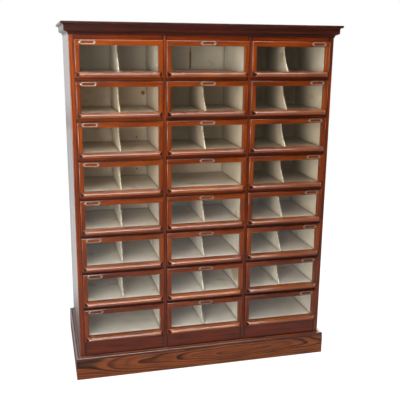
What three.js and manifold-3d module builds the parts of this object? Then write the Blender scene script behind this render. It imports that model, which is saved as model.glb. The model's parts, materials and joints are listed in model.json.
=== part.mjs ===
// Haberdashery cabinet: a wooden case with three columns of glass-fronted drawers.
// Millimetres. X runs to the right, Y from the front to the back and Z up.
// The origin is on the floor, under the middle of the whole cabinet.
import * as THREE from 'three';
import { mergeVertices } from 'three/addons/utils/BufferGeometryUtils.js';
import Module from 'manifold-3d';

const wasm = await Module();
wasm.setup();

// Counts
const columns = 3;
const rows = 8;

// Drawer fronts, and what shows of the case round them
const frontWidth = 375;
const frontHeight = 159;
const stileShow = 15;
const railShow = 14;
const sideShow = 22.5;
const bottomShow = 75;
const topShow = 19;

// Case
const caseDepth = 584;
const boardThick = 20;
const frameThick = 20;
const backThick = 10;
const bottomBoardThick = 18;
const topBoardThick = 10;
const lipCover = 4;

// Cornice and plinth
const corniceHeight = 43;
const topOverhang = 31;
const plinthHeight = 110;
const plinthProjection = 20.8;
const plinthFootHeight = 97;
const jointGap = 0.3;
const coveSteps = 4;
const corniceShares = {
  toe: 0.06, bead: 0.42, band: 0.61, shelf: 0.9, coveDrop: 0.25, bandDrop: 0.52, beadDrop: 0.72,
};
const plinthShares = { ledge: 0.85, neck: 0.3, step: 0.12 };

// Drawer front
const frontProud = 13.5;
const tongueThick = 6;
const stileWidth = 20.5;
const topRailHeight = 23.5;
const bottomRailHeight = 26;
const edgeRound = 3;
const glassThick = 2.5;
const glassSetback = 7.3;
const glassCover = 5;
const glassGap = 0.3;

// Finger pull along the foot of each front.
// The shares are of its projection and of its height, counted down from the sight line.
const pullProjection = 14;
const pullHeight = 24;
const pullHollow = 4;
const pullEndInset = 5;
const pullSteps = 3;
const pullShares = {
  crownBend: [0.3, 0.07], crown: [0.57, 0.19], browBend: [0.85, 0.33], brow: [0.95, 0.62],
  noseBend: [0.99, 0.7], nose: [1, 0.75], heelBend: [1, 1], heel: [0.5, 1],
};

// Drawer box
const boxDepth = 345;
const boxSideThick = 8;
const boxBackThick = 8;
const boxFloorThick = 6;
const boxFloorRise = 10;
const sideClearance = 1.5;
const headClearance = 2.7;
const runGap = 0.3;
const dividerThick = 5.5;
const dividerFootSetback = 18;
const dividerHeadSetback = 88;
const dividerHeadGap = 6;

// Runners and kickers on the upright boards
const runnerReach = 5;

// Label holder: a pointed plate with a window that has small cut corners
const holderLength = 75;
const holderHeight = 17.5;
const holderPoint = 9;
const holderEnd = 11.5;
const holderBand = 3.2;
const holderNotch = 2;
const holderThick = 1.6;
const holderSink = 0.5;
const holderInset = 17;

// How far a body that cuts runs past what it cuts
const cutOverrun = 20;

// Drawers that hold one open bay, given as [column, row] counted from the top left
const openDrawers = [[2, 1], [2, 4], [1, 8], [3, 8]];
const partitionNames = ['left_partition', 'right_partition'];

// Sizes that follow
const columnPitch = frontWidth + stileShow;
const rowPitch = frontHeight + railShow;
const caseWidth = columns * frontWidth + (columns - 1) * stileShow + 2 * sideShow;
const drawerStack = rows * frontHeight + (rows - 1) * railShow;
const corniceFoot = plinthHeight + bottomShow + drawerStack + topShow;
const caseTop = corniceFoot + corniceHeight;
const totalDepth = caseDepth + topOverhang;
const caseBack = totalDepth / 2;
const faceY = caseBack - caseDepth;
const halfCase = caseWidth / 2;
const windowWidth = frontWidth - 2 * lipCover;
const windowHeight = frontHeight - 2 * lipCover;
const frameRail = rowPitch - windowHeight;
const lowestWindow = plinthHeight + bottomShow + lipCover;
const uprightFront = faceY + frameThick;
const uprightBack = caseBack - backThick;
const boxWidth = windowWidth - 2 * sideClearance;
const boxFoot = lipCover + runGap;
const boxHead = frontHeight - lipCover - headClearance;
const runnerWidth = (windowWidth - boxWidth) / 2 + runnerReach + boxSideThick;
const frontFace = -frontProud;
const lipBack = -runGap;

const wood = {
  front: { color: 0xa8521c, roughness: 0.4, metalness: 0 },
  carcass: { color: 0x78321a, roughness: 0.45, metalness: 0 },
  dark: { color: 0x3c1e1a, roughness: 0.45, metalness: 0 },
  plinth: { color: 0x6e3c20, roughness: 0.45, metalness: 0 },
  inner: { color: 0xb08a5c, roughness: 0.7, metalness: 0 },
};
const paneFinish = { color: 0xe8f0ea, roughness: 0.05, metalness: 0, transparent: true, opacity: 0.3 };

const cabinet = new THREE.Group();

// Adds one named piece to a group
function addPiece(group, name, geometry, finish) {
  const mesh = new THREE.Mesh(geometry, new THREE.MeshStandardMaterial(finish));
  mesh.name = name;
  group.add(mesh);
}

// A board given by its low and high corners
function board(low, high) {
  const size = high.map((value, axis) => value - low[axis]);
  const geometry = new THREE.BoxGeometry(...size);
  return geometry.translate(...low.map((value, axis) => value + size[axis] / 2));
}

// An outline in X and Z, run along Y from its front to its back
function alongY(outline, front, back, holes = []) {
  const shape = new THREE.Shape(outline.map(([x, z]) => new THREE.Vector2(x, z)));
  for (const hole of holes) {
    shape.holes.push(new THREE.Path(hole.map(([x, z]) => new THREE.Vector2(x, z))));
  }
  const geometry = new THREE.ExtrudeGeometry(shape, { depth: back - front, bevelEnabled: false });
  return geometry.rotateX(Math.PI / 2).translate(0, back, 0);
}

// An outline in Y and Z, run along X
function alongX(outline, left, right) {
  const shape = new THREE.Shape(outline.map(([y, z]) => new THREE.Vector2(y, z)));
  const geometry = new THREE.ExtrudeGeometry(shape, { depth: right - left, bevelEnabled: false });
  const axes = new THREE.Matrix4().makeBasis(
    new THREE.Vector3(0, 1, 0), new THREE.Vector3(0, 0, 1), new THREE.Vector3(1, 0, 0));
  return geometry.applyMatrix4(axes).translate(left, 0, 0);
}

// An outline in X and Y, run up Z
function alongZ(outline, foot, head) {
  const shape = new THREE.Shape(outline.map(([x, y]) => new THREE.Vector2(x, y)));
  const geometry = new THREE.ExtrudeGeometry(shape, { depth: head - foot, bevelEnabled: false });
  return geometry.translate(0, 0, foot);
}

// The four corners of a rectangle, counter-clockwise
function rectangle(left, right, foot, head) {
  return [[left, foot], [right, foot], [right, head], [left, head]];
}

// A closed body through a row of outlines with the same number of points.
// The outlines run counter-clockwise as seen from the first end; flat is the end outline in its own plane.
function loft(outlines, flat) {
  const ring = flat.length;
  const last = (outlines.length - 1) * ring;
  const triangles = [];
  for (let start = 0; start < last; start += ring) {
    for (let index = 0; index < ring; index += 1) {
      const a = start + index;
      const b = start + (index + 1) % ring;
      triangles.push(a, b + ring, b, a, a + ring, b + ring);
    }
  }
  const cap = THREE.ShapeUtils.triangulateShape(flat.map(([u, v]) => new THREE.Vector2(u, v)), []);
  for (const [a, b, c] of cap) {
    triangles.push(a, b, c, last + c, last + b, last + a);
  }
  const geometry = new THREE.BufferGeometry();
  geometry.setAttribute('position', new THREE.Float32BufferAttribute(outlines.flat(2), 3));
  geometry.setIndex(triangles);
  return geometry;
}

// A profile of [projection, height] points carried past a row of places.
// Each place turns one profile point into X, Y and Z, so corners come out mitred.
function moulding(profile, places) {
  return loft(places.map((place) => profile.map(([out, up]) => place(out, up))), profile);
}

// Points of a quarter curve from one [out, up] point to another, bulging towards the bend point
function quarter(from, to, bend, steps) {
  const curve = new THREE.QuadraticBezierCurve(
    new THREE.Vector2(...from), new THREE.Vector2(...bend), new THREE.Vector2(...to));
  return curve.getPoints(steps).map((point) => [point.x, point.y]);
}

// A closed geometry as a solid that can be joined and cut
function solid(geometry) {
  const plain = geometry.clone();
  plain.deleteAttribute('normal');
  plain.deleteAttribute('uv');
  const merged = mergeVertices(plain);
  return new wasm.Manifold(new wasm.Mesh({
    numProp: 3,
    vertProperties: new Float32Array(merged.attributes.position.array),
    triVerts: new Uint32Array(merged.index.array),
  }));
}

// A solid back as a geometry
function surface(body) {
  const mesh = body.getMesh();
  const geometry = new THREE.BufferGeometry();
  geometry.setAttribute('position', new THREE.BufferAttribute(new Float32Array(mesh.vertProperties), 3));
  geometry.setIndex(new THREE.BufferAttribute(new Uint32Array(mesh.triVerts), 1));
  return geometry;
}

// The place of a column's centre line, counted from 1 at the left
function columnCentre(column) {
  return (column - (columns + 1) / 2) * columnPitch;
}

// The foot of a row's drawer fronts, counted from 1 at the top
function rowFoot(row) {
  return plinthHeight + bottomShow + (rows - row) * rowPitch;
}

// Face frame: stiles and rails in one plane, open below the bottom rail between the outer stiles
function faceFrame() {
  const railFoot = plinthFootHeight - frameRail;
  const legWidth = sideShow + lipCover;
  const outline = [
    [-halfCase, 0], [-halfCase + legWidth, 0], [-halfCase + legWidth, railFoot],
    [halfCase - legWidth, railFoot], [halfCase - legWidth, 0], [halfCase, 0],
    [halfCase, caseTop], [-halfCase, caseTop],
  ];
  let frame = solid(alongY(outline, faceY, uprightFront));
  for (let column = 1; column <= columns; column += 1) {
    for (let row = 1; row <= rows; row += 1) {
      const left = columnCentre(column) - windowWidth / 2;
      const foot = rowFoot(row) + lipCover;
      frame = frame.subtract(solid(board(
        [left, faceY - cutOverrun, foot],
        [left + windowWidth, uprightFront + cutOverrun, foot + windowHeight])));
    }
  }
  return surface(frame);
}

// The comb-shaped edge that runners and kickers make on one face of an upright board
function runnerEdge(face, reach) {
  const points = [];
  for (let level = 0; level <= rows; level += 1) {
    const head = lowestWindow + level * rowPitch;
    const foot = head - frameRail;
    points.push([face, foot], [face + reach, foot], [face + reach, head], [face, head]);
  }
  return points;
}

// Outer side of the case, with its runners inside; sign is -1 at the left and 1 at the right
function sideBoard(sign) {
  const outer = sign * halfCase;
  const inner = outer - sign * boardThick;
  const bay = columnCentre(columns) + windowWidth / 2;
  const tip = sign * (bay - runnerWidth);
  const outline = [
    [outer, 0], [inner, 0], ...runnerEdge(inner, tip - inner), [inner, caseTop], [outer, caseTop],
  ];
  return alongY(sign < 0 ? outline : outline.reverse(), uprightFront, uprightBack);
}

// Upright board between two columns, with runners on both faces
function partition(x) {
  const foot = plinthHeight + bottomBoardThick;
  const half = boardThick / 2;
  const reach = columnPitch / 2 - windowWidth / 2 + runnerWidth - half;
  const outline = [
    [x - half, foot], [x + half, foot], ...runnerEdge(x + half, reach), [x + half, caseTop],
    [x - half, caseTop], ...runnerEdge(x - half, -reach).reverse(),
  ];
  return alongY(outline, uprightFront, uprightBack);
}

// Cornice profile under the top board: a cove, a flat band, a round and a smaller cove
function corniceProfile() {
  const shelf = topOverhang * corniceShares.shelf;
  const band = topOverhang * corniceShares.band;
  const bead = topOverhang * corniceShares.bead;
  const toe = topOverhang * corniceShares.toe;
  const bandHead = caseTop - corniceHeight * corniceShares.coveDrop;
  const bandFoot = caseTop - corniceHeight * corniceShares.bandDrop;
  const beadFoot = caseTop - corniceHeight * corniceShares.beadDrop;
  return [
    [0, corniceFoot], [toe, corniceFoot],
    ...quarter([toe, corniceFoot], [bead, beadFoot], [toe, beadFoot], coveSteps).slice(1),
    ...quarter([bead, beadFoot], [band, bandFoot], [band, beadFoot], coveSteps).slice(1),
    ...quarter([band, bandHead], [shelf, caseTop], [band, caseTop], coveSteps),
    [0, caseTop],
  ];
}

// Plinth profile: a flat board with a rounded, stepped top edge
function plinthProfile() {
  const neck = plinthProjection * plinthShares.neck;
  const step = plinthFootHeight + (plinthHeight - plinthFootHeight) * plinthShares.step;
  return [
    [0, 0], [plinthProjection, 0], [plinthProjection, plinthFootHeight],
    ...quarter([plinthProjection * plinthShares.ledge, step], [neck, plinthHeight],
      [plinthProjection * plinthShares.ledge, plinthHeight], coveSteps),
    [0, plinthHeight],
  ];
}

// Finger pull: a sloping crown, a broad face that leans back, a round nose and a hollow underneath.
// Both ends are cut at 45 degrees.
function fingerPull() {
  const head = bottomRailHeight;
  const foot = head - pullHeight;
  const place = ([out, down]) => [frontFace - pullProjection * out, head - pullHeight * down];
  const crown = place(pullShares.crown);
  const brow = place(pullShares.brow);
  const nose = place(pullShares.nose);
  const heel = place(pullShares.heel);
  const roof = foot + pullHollow;
  const seat = frontFace + edgeRound;
  const profile = [
    [seat, head],
    ...quarter([frontFace, head], crown, place(pullShares.crownBend), pullSteps),
    ...quarter(crown, brow, place(pullShares.browBend), pullSteps).slice(1),
    ...quarter(brow, nose, place(pullShares.noseBend), pullSteps).slice(1),
    ...quarter(nose, heel, place(pullShares.heelBend), pullSteps).slice(1),
    ...quarter(heel, [frontFace, roof], [heel[0], roof], pullSteps).slice(1),
    [seat, roof],
  ];
  const end = frontWidth / 2 - pullEndInset;
  const cut = end - pullProjection;
  const tip = frontFace - pullProjection;
  const plan = [[-end, seat], [-end, frontFace], [-cut, tip], [cut, tip], [end, frontFace], [end, seat]];
  const bar = solid(alongX(profile, -end, end));
  return bar.intersect(solid(alongZ(plan, foot - cutOverrun, head + cutOverrun)));
}

// Front of a drawer: lipped frame with a softened edge, tongue behind it, and the sight opening cut
function drawerFront() {
  const half = frontWidth / 2;
  const inset = half - edgeRound;
  const wide = rectangle(-half, half, 0, frontHeight);
  const small = rectangle(-inset, inset, edgeRound, frontHeight - edgeRound);
  const levels = [[small, frontFace], [wide, frontFace + edgeRound], [wide, lipBack]];
  const plate = solid(loft(levels.map(([outline, y]) => outline.map(([x, z]) => [x, y, z])), wide));
  const tongue = solid(board([-boxWidth / 2, lipBack, boxFoot], [boxWidth / 2, tongueThick, boxHead]));
  const sight = sightOpening();
  const opening = solid(board(
    [sight.left, frontFace - cutOverrun, sight.foot], [sight.right, tongueThick + cutOverrun, sight.head]));
  const reach = glassCover + glassGap;
  const rebate = solid(board(
    [sight.left - reach, frontFace + glassSetback - glassGap, sight.foot - reach],
    [sight.right + reach, tongueThick + cutOverrun, sight.head + reach]));
  return plate.add(tongue).subtract(opening).subtract(rebate).add(fingerPull());
}

// Edges of the opening that the glass shows through, from the front's own centre and foot
function sightOpening() {
  return {
    left: stileWidth - frontWidth / 2,
    right: frontWidth / 2 - stileWidth,
    foot: bottomRailHeight,
    head: frontHeight - topRailHeight,
  };
}

// Tray behind the front: two sides, a back and a raised floor
function drawerTray() {
  const half = boxWidth / 2;
  const floorFoot = boxFoot + boxFloorRise;
  const seat = tongueThick - runGap;
  const pieces = [
    board([-half, seat, boxFoot], [-half + boxSideThick, boxDepth, boxHead]),
    board([half - boxSideThick, seat, boxFoot], [half, boxDepth, boxHead]),
    board([-half, boxDepth - boxBackThick, boxFoot], [half, boxDepth, boxHead]),
    board([-half, seat, floorFoot], [half, boxDepth, floorFoot + boxFloorThick]),
  ];
  return pieces.map(solid);
}

// Divider with a raked front edge
function drawerDivider() {
  const floorHead = boxFoot + boxFloorRise + boxFloorThick;
  const head = boxHead - dividerHeadGap;
  const back = boxDepth - boxBackThick / 2;
  const foot = floorHead - boxFloorThick / 2;
  const outline = [[dividerFootSetback, foot], [back, foot], [back, head], [dividerHeadSetback, head]];
  return solid(alongX(outline, -dividerThick / 2, dividerThick / 2));
}

// Six-sided label holder, open in the middle, let slightly into the top rail
function labelHolder(centre) {
  const middle = frontHeight - topRailHeight / 2;
  const pointed = (long, high, point) => [
    [-long, 0], [-long + point, -high], [long - point, -high],
    [long, 0], [long - point, high], [-long + point, high],
  ].map(([x, z]) => [centre + x, middle + z]);
  const plate = pointed(holderLength / 2, holderHeight / 2, holderPoint);
  const view = pointed(holderLength / 2 - holderEnd, holderHeight / 2 - holderBand, holderNotch);
  return solid(alongY(plate, frontFace - holderThick, frontFace + holderSink, [view]));
}

// Place of the label holder: towards the outer edge on the outer columns, else in the middle
function holderCentre(column) {
  const offset = frontWidth / 2 - holderInset - holderLength / 2;
  if (column === 1) return -offset;
  return column === columns ? offset : 0;
}

// Glass pane, held in the rebate behind the front
function glassPane() {
  const sight = sightOpening();
  const face = frontFace + glassSetback;
  return board(
    [sight.left - glassCover, face, sight.foot - glassCover],
    [sight.right + glassCover, face + glassThick, sight.head + glassCover]);
}

// Case
addPiece(cabinet, 'face_frame', faceFrame(), wood.carcass);
addPiece(cabinet, 'left_side', sideBoard(-1), wood.carcass);
addPiece(cabinet, 'right_side', sideBoard(1), wood.carcass);
for (let gap = 1; gap < columns; gap += 1) {
  const name = partitionNames[gap - 1] ?? `partition_${gap}`;
  addPiece(cabinet, name, partition(columnCentre(gap) + columnPitch / 2), wood.inner);
}
addPiece(cabinet, 'bottom_board', board(
  [boardThick - halfCase, uprightFront, plinthHeight],
  [halfCase - boardThick, uprightBack, plinthHeight + bottomBoardThick]), wood.inner);
addPiece(cabinet, 'back_panel', board([-halfCase, uprightBack, 0], [halfCase, caseBack, caseTop]), wood.inner);
addPiece(cabinet, 'top_board', board(
  [-halfCase - topOverhang, faceY - topOverhang, caseTop],
  [halfCase + topOverhang, caseBack, caseTop + topBoardThick]), wood.dark);

// Mouldings round the front and both sides
const corner = (sign, out) => [sign * (halfCase + out), faceY - out];
const tail = (sign, out) => [sign * (halfCase + out), caseBack];
addPiece(cabinet, 'cornice', moulding(corniceProfile(), [
  (out, up) => [...tail(-1, out), up],
  (out, up) => [...corner(-1, out), up],
  (out, up) => [...corner(1, out), up],
  (out, up) => [...tail(1, out), up],
]), wood.dark);
addPiece(cabinet, 'plinth_front', moulding(plinthProfile(), [
  (out, up) => [...corner(-1, out), up],
  (out, up) => [...corner(1, out), up],
]), wood.plinth);
addPiece(cabinet, 'plinth_left', moulding(plinthProfile(), [
  (out, up) => [...tail(-1, out), up],
  (out, up) => [-halfCase - out, faceY - out + jointGap, up],
]), wood.plinth);
addPiece(cabinet, 'plinth_right', moulding(plinthProfile(), [
  (out, up) => [halfCase + out, faceY - out + jointGap, up],
  (out, up) => [...tail(1, out), up],
]), wood.plinth);

// Drawers
const front = drawerFront();
const tray = drawerTray().reduce((joined, piece) => joined.add(piece));
const divider = drawerDivider();
const pane = glassPane();
for (let column = 1; column <= columns; column += 1) {
  const holder = labelHolder(holderCentre(column));
  for (let row = 1; row <= rows; row += 1) {
    const open = openDrawers.some(([c, r]) => c === column && r === row);
    const whole = front.add(tray).add(holder);
    const drawer = new THREE.Group();
    drawer.position.set(columnCentre(column), faceY, rowFoot(row));
    addPiece(drawer, `drawer_${column}_${row}`, surface(open ? whole : whole.add(divider)), wood.front);
    addPiece(drawer, `glass_${column}_${row}`, pane.clone(), paneFinish);
    cabinet.add(drawer);
  }
}

export default cabinet;
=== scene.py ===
"""Haberdashery cabinet: a polished shop cabinet with glass-fronted drawers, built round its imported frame."""

import json
import math
import random

import bmesh
import bpy
from bpy.props import FloatProperty, FloatVectorProperty, IntProperty, PointerProperty
from mathutils import Matrix, Vector, noise


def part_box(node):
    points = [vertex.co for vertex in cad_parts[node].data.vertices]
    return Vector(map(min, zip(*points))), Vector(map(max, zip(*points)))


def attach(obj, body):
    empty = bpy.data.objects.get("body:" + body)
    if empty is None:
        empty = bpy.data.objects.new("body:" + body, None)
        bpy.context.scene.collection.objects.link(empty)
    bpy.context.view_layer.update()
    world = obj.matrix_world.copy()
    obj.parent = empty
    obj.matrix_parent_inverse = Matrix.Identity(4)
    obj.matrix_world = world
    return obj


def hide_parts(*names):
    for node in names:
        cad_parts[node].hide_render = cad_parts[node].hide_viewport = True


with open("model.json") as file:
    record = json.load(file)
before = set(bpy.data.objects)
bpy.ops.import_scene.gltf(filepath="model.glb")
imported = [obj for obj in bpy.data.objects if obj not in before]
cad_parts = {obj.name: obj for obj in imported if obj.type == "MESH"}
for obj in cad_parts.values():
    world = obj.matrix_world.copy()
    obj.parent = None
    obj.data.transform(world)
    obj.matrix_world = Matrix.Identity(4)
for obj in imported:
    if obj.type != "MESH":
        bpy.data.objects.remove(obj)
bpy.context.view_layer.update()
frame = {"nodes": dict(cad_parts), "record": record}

bl_info = {
    "name": "Haberdashery cabinet",
    "version": (1, 0, 0),
    "blender": (4, 5, 0),
    "location": "View3D > Sidebar > Cabinet",
    "description": "Builds the joinery, glass, paint and metalwork of a glass-fronted drawer cabinet",
    "category": "Object",
}

AXES = "xyz"

# A distance in metres that means far from any edge, corner or mark
FAR = 10.0

# What each vertex of a piece tells the shaders
VECTORS = ("grain", "local", "half", "bay", "mark")
VALUES = ("tint", "arris", "age", "tone")

# Steps across a rounding and across a worn arris
ROUND_STEPS = 4
ARRIS_STEPS = 2


FACE_LOW, FACE_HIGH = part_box("face_frame")
TOP_LOW, TOP_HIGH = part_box("top_board")
CORNICE_LOW, CORNICE_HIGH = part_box("cornice")
PLINTH_LOW, PLINTH_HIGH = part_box("plinth_front")
FLOOR_LOW, FLOOR_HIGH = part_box("bottom_board")
BACK_LOW, BACK_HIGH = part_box("back_panel")
DRAWERS = [
    tuple(int(part) for part in name.split("_")[1:]) for name in frame["nodes"] if name.startswith("drawer_")
]
COLUMNS, ROWS = (max(numbers) for numbers in zip(*DRAWERS))

# Drawers without a divider, whose tray is one opening in the record
OPEN_BAYS = {
    tuple(int(part) for part in opening["name"].split("_")[1:3])
    for opening in frame["record"]["physics"]["openings"]
    if opening["name"].endswith("_bay") and opening["name"].count("_") == 3
}


def srgb(red, green, blue):
    """A colour read off a screen, from 0 to 255, as the linear colour that a shader takes."""
    shares = (channel / 255 for channel in (red, green, blue))
    return tuple(c / 12.92 if c <= 0.04045 else ((c + 0.055) / 1.055) ** 2.4 for c in shares)


def length_property(name, default, description):
    """A size in metres for the panel."""
    return FloatProperty(
        name=name, default=default, min=0.0, unit="LENGTH", precision=4, description=description
    )


def colour_property(name, rgb, description):
    """A colour for the panel, given from 0 to 255."""
    return FloatVectorProperty(
        name=name, size=3, subtype="COLOR", min=0.0, max=1.0, default=srgb(*rgb), description=description
    )


def angle_property(name, default, description):
    """An angle for the panel."""
    return FloatProperty(name=name, default=default, subtype="ANGLE", description=description)


def level_property(name, default, description):
    """A brightness for the panel, where one is white."""
    return FloatProperty(name=name, default=default, min=0.0, description=description)


def power_property(name, default, description):
    """The power of a lamp for the panel."""
    return FloatProperty(name=name, default=default, min=0.0, unit="POWER", description=description)


class DrawerSizes(bpy.types.PropertyGroup):
    """Sizes of a drawer's own pieces."""

    proud: length_property("Front proud", 0.0135, "How far a drawer front stands out from the face frame")
    lip_gap: length_property("Lip gap", 0.0003, "Gap between the lip of a front and the face frame")
    tongue: length_property("Tongue", 0.006, "Part of the front that enters the face frame")
    stile: length_property("Stile", 0.0205, "Width of the upright members of a front")
    top_rail: length_property("Top rail", 0.0235, "Height of the upper member of a front")
    bottom_rail: length_property("Bottom rail", 0.026, "Height of the lower member of a front")
    lip: length_property("Lip", 0.004, "How far a front covers the face frame all round")
    round_over: length_property("Rounding", 0.0044, "Radius along the outer edges of a front")
    sight_round: length_property("Sight rounding", 0.0012, "Radius along the edges round the glass")
    side_gap: length_property("Side gap", 0.0015, "Gap between a tray side and the face frame")
    head_gap: length_property("Head gap", 0.0027, "Gap over a tray")
    run_gap: length_property("Running gap", 0.0003, "Gap under a tray")
    side: length_property("Tray side", 0.008, "Thickness of the tray sides and back")
    floor: length_property("Tray floor", 0.006, "Thickness of the tray floor")
    floor_rise: length_property("Floor rise", 0.010, "Height of the floor's underside over the sides' foot")
    divider: length_property("Divider", 0.0055, "Thickness of a divider")
    divider_foot: length_property("Divider foot", 0.018, "Setback of a divider at the floor")
    divider_head: length_property("Divider head", 0.088, "Setback of a divider at its top")
    divider_gap: length_property("Divider gap", 0.006, "Height of the tray sides over a divider")
    glass_setback: length_property("Glass setback", 0.0073, "Depth of the glass behind the front")
    glass: length_property("Glass", 0.0025, "Thickness of a pane")
    glass_cover: length_property("Glass cover", 0.005, "Width of glass that the front hides")
    pull_out: length_property("Pull projection", 0.020, "How far the finger pull stands out from the front")
    pull_height: length_property("Pull height", 0.024, "Height of the finger pull, from the glass down")
    pull_cut: length_property("Pull end", 0.0013, "Width of the worn edge round the sawn ends of the pull")
    pull_hollow: length_property("Pull hollow", 0.004, "Depth of the finger groove under the pull")
    pull_inset: length_property("Pull inset", 0.005, "From the end of the pull to the edge of the front")


class HolderSizes(bpy.types.PropertyGroup):
    """Sizes of a label holder."""

    length: length_property("Length", 0.075, "Length over both points")
    height: length_property("Height", 0.0175, "Height over both long edges")
    point: length_property("Point", 0.009, "Length of each pointed end")
    end: length_property("End", 0.0115, "Length of metal at each end of the window")
    band: length_property("Band", 0.0032, "Width of the metal over and under the window")
    notch: length_property("Notch", 0.002, "Length of the cut corners of the window")
    thick: length_property("Thickness", 0.0016, "Height of the band over the wood")
    inset: length_property("Inset", 0.017, "Distance from an outer holder to the edge of its front")
    pin: length_property("Pin radius", 0.0014, "Radius of the head of a fixing pin")


class CaseSizes(bpy.types.PropertyGroup):
    """Sizes of the case."""

    board: length_property("Board", 0.020, "Thickness of the upright boards")
    arris: length_property("Arris", 0.0006, "Radius along the edges of the case's members")
    corner: length_property("Corner", 0.0035, "Radius along the outer front corners of the case")
    plinth_flat: length_property("Plinth flat", 0.095, "Height of the flat face of the plinth")
    boards_across: IntProperty(name="Back boards", default=9, min=1, description="Boards across the back")
    boards_in_side: IntProperty(name="Side boards", default=3, min=1, description="Boards in each side")


class Finishes(bpy.types.PropertyGroup):
    """Colours of the finishes."""

    front_light: colour_property("Front, light", (178, 80, 12), "Light grain of the drawer fronts")
    front_dark: colour_property("Front, dark", (100, 36, 8), "Dark grain of the drawer fronts")
    pull_light: colour_property("Pull, light", (196, 100, 30), "Light grain of the finger pulls")
    pull_dark: colour_property("Pull, dark", (116, 48, 13), "Dark grain of the finger pulls")
    case_light: colour_property("Case, light", (156, 62, 10), "Light grain of the face frame and sides")
    case_dark: colour_property("Case, dark", (80, 26, 7), "Dark grain of the face frame and sides")
    end_grain: colour_property("End grain", (64, 25, 12), "Sawn ends of the finger pulls")
    plinth_light: colour_property("Plinth, light", (164, 84, 34), "Light grain of the plinth")
    plinth_dark: colour_property("Plinth, dark", (102, 47, 20), "Dark grain of the plinth")
    plinth_line: colour_property("Plinth, line", (36, 14, 9), "Growth lines of the plinth")
    # Painted shade on the plinth's bead and quirk
    bead: colour_property("Plinth bead", (86, 32, 18), "Darkened bead along the top of the plinth")
    cornice_light: colour_property("Cornice, light", (92, 34, 18), "Light grain of the cornice and top")
    cornice_dark: colour_property("Cornice, dark", (38, 14, 10), "Dark grain of the cornice and top")
    line: colour_property("Growth line", (60, 22, 12), "Growth lines of the polished wood")
    raw_light: colour_property("Raw wood, light", (196, 160, 112), "Light grain of the unpolished wood")
    raw_dark: colour_property("Raw wood, dark", (142, 104, 66), "Dark grain of the unpolished wood")
    paint: colour_property("Paint", (234, 228, 218), "Paint inside the trays")
    # Aged paint, which also stands for painted warm bounce light in the upper trays
    paint_aged_and_warm_lit: colour_property("Paint, aged", (230, 212, 190), "Paint that has yellowed")
    # Dirt on the paint, also used as painted shade in the trays' inner corners
    paint_dirt_and_shade: colour_property("Paint dirt", (150, 130, 100), "Dirt in the corners of the trays")
    paint_stain: colour_property("Paint stain", (184, 150, 96), "Old stains on the paint")
    # Painted shade: the dark brown on the backs of some trays
    tray_shade: colour_property("Shade", (64, 44, 28), "Dark soiling in some trays")
    rust: colour_property("Rust", (138, 72, 26), "Rust marks round nails")
    floor_paint: colour_property("Tray floor", (238, 231, 222), "Paint on the tray floors")
    # Aged floor paint, which also stands for painted warm bounce light in the upper trays
    floor_aged_and_warm_lit: colour_property("Tray floor, aged", (230, 212, 190), "Yellowed paint on the tray floors")
    metal: colour_property("Metal", (188, 174, 158), "Dull nickel of the label holders")
    metal_dark: colour_property("Tarnish", (104, 88, 72), "Tarnish on the label holders")
    glass: colour_property("Glass", (249, 250, 247), "Tint of the panes")


class StageSizes(bpy.types.PropertyGroup):
    """Camera and lights."""

    eye: FloatVectorProperty(
        name="Eye", size=3, subtype="TRANSLATION", unit="LENGTH", default=(-0.7302, -3.0102, 1.5377),
        description="Where the camera stands",
    )
    yaw: angle_property("Yaw", 0.2510, "Turn of the camera to the right")
    pitch: angle_property("Pitch", -0.2430, "Tilt of the camera upwards")
    roll: angle_property("Roll", -0.0100, "Roll of the camera")
    lens: FloatProperty(name="Lens", default=56.43, unit="CAMERA", description="Focal length, 36 mm frame")
    ambient: level_property("Ambient", 0.01, "Light from the white surroundings")
    room: level_property("Room", 0.03, "Brightness of the room that gloss mirrors")
    glow: level_property("Glow", 1.6, "Bright wall at the left that gloss mirrors")
    backdrop: level_property("Backdrop", 0.43, "White backdrop that gloss mirrors")
    window: power_property("Window", 49.0, "Power of the light in front, at the left")
    overhead: power_property("Overhead", 45.0, "Power of the light over the front")
    high: power_property("High", 22.0, "Power of the light high in front")
    side: power_property("Side", 1.0, "Power of the light at the left")
    back: power_property("Back", 60.0, "Power of the light behind")
    right: power_property("Right", 30.0, "Power of the light at the right")


def settings(context):
    """The cabinet's settings, kept on the scene."""
    return context.scene.cabinet


class CabinetSettings(bpy.types.PropertyGroup):
    """All the settings of the cabinet."""

    drawer: PointerProperty(type=DrawerSizes)
    holder: PointerProperty(type=HolderSizes)
    case: PointerProperty(type=CaseSizes)
    finish: PointerProperty(type=Finishes)
    stage: PointerProperty(type=StageSizes)


# Joinery: boards and moulded lengths gathered into one mesh


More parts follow.
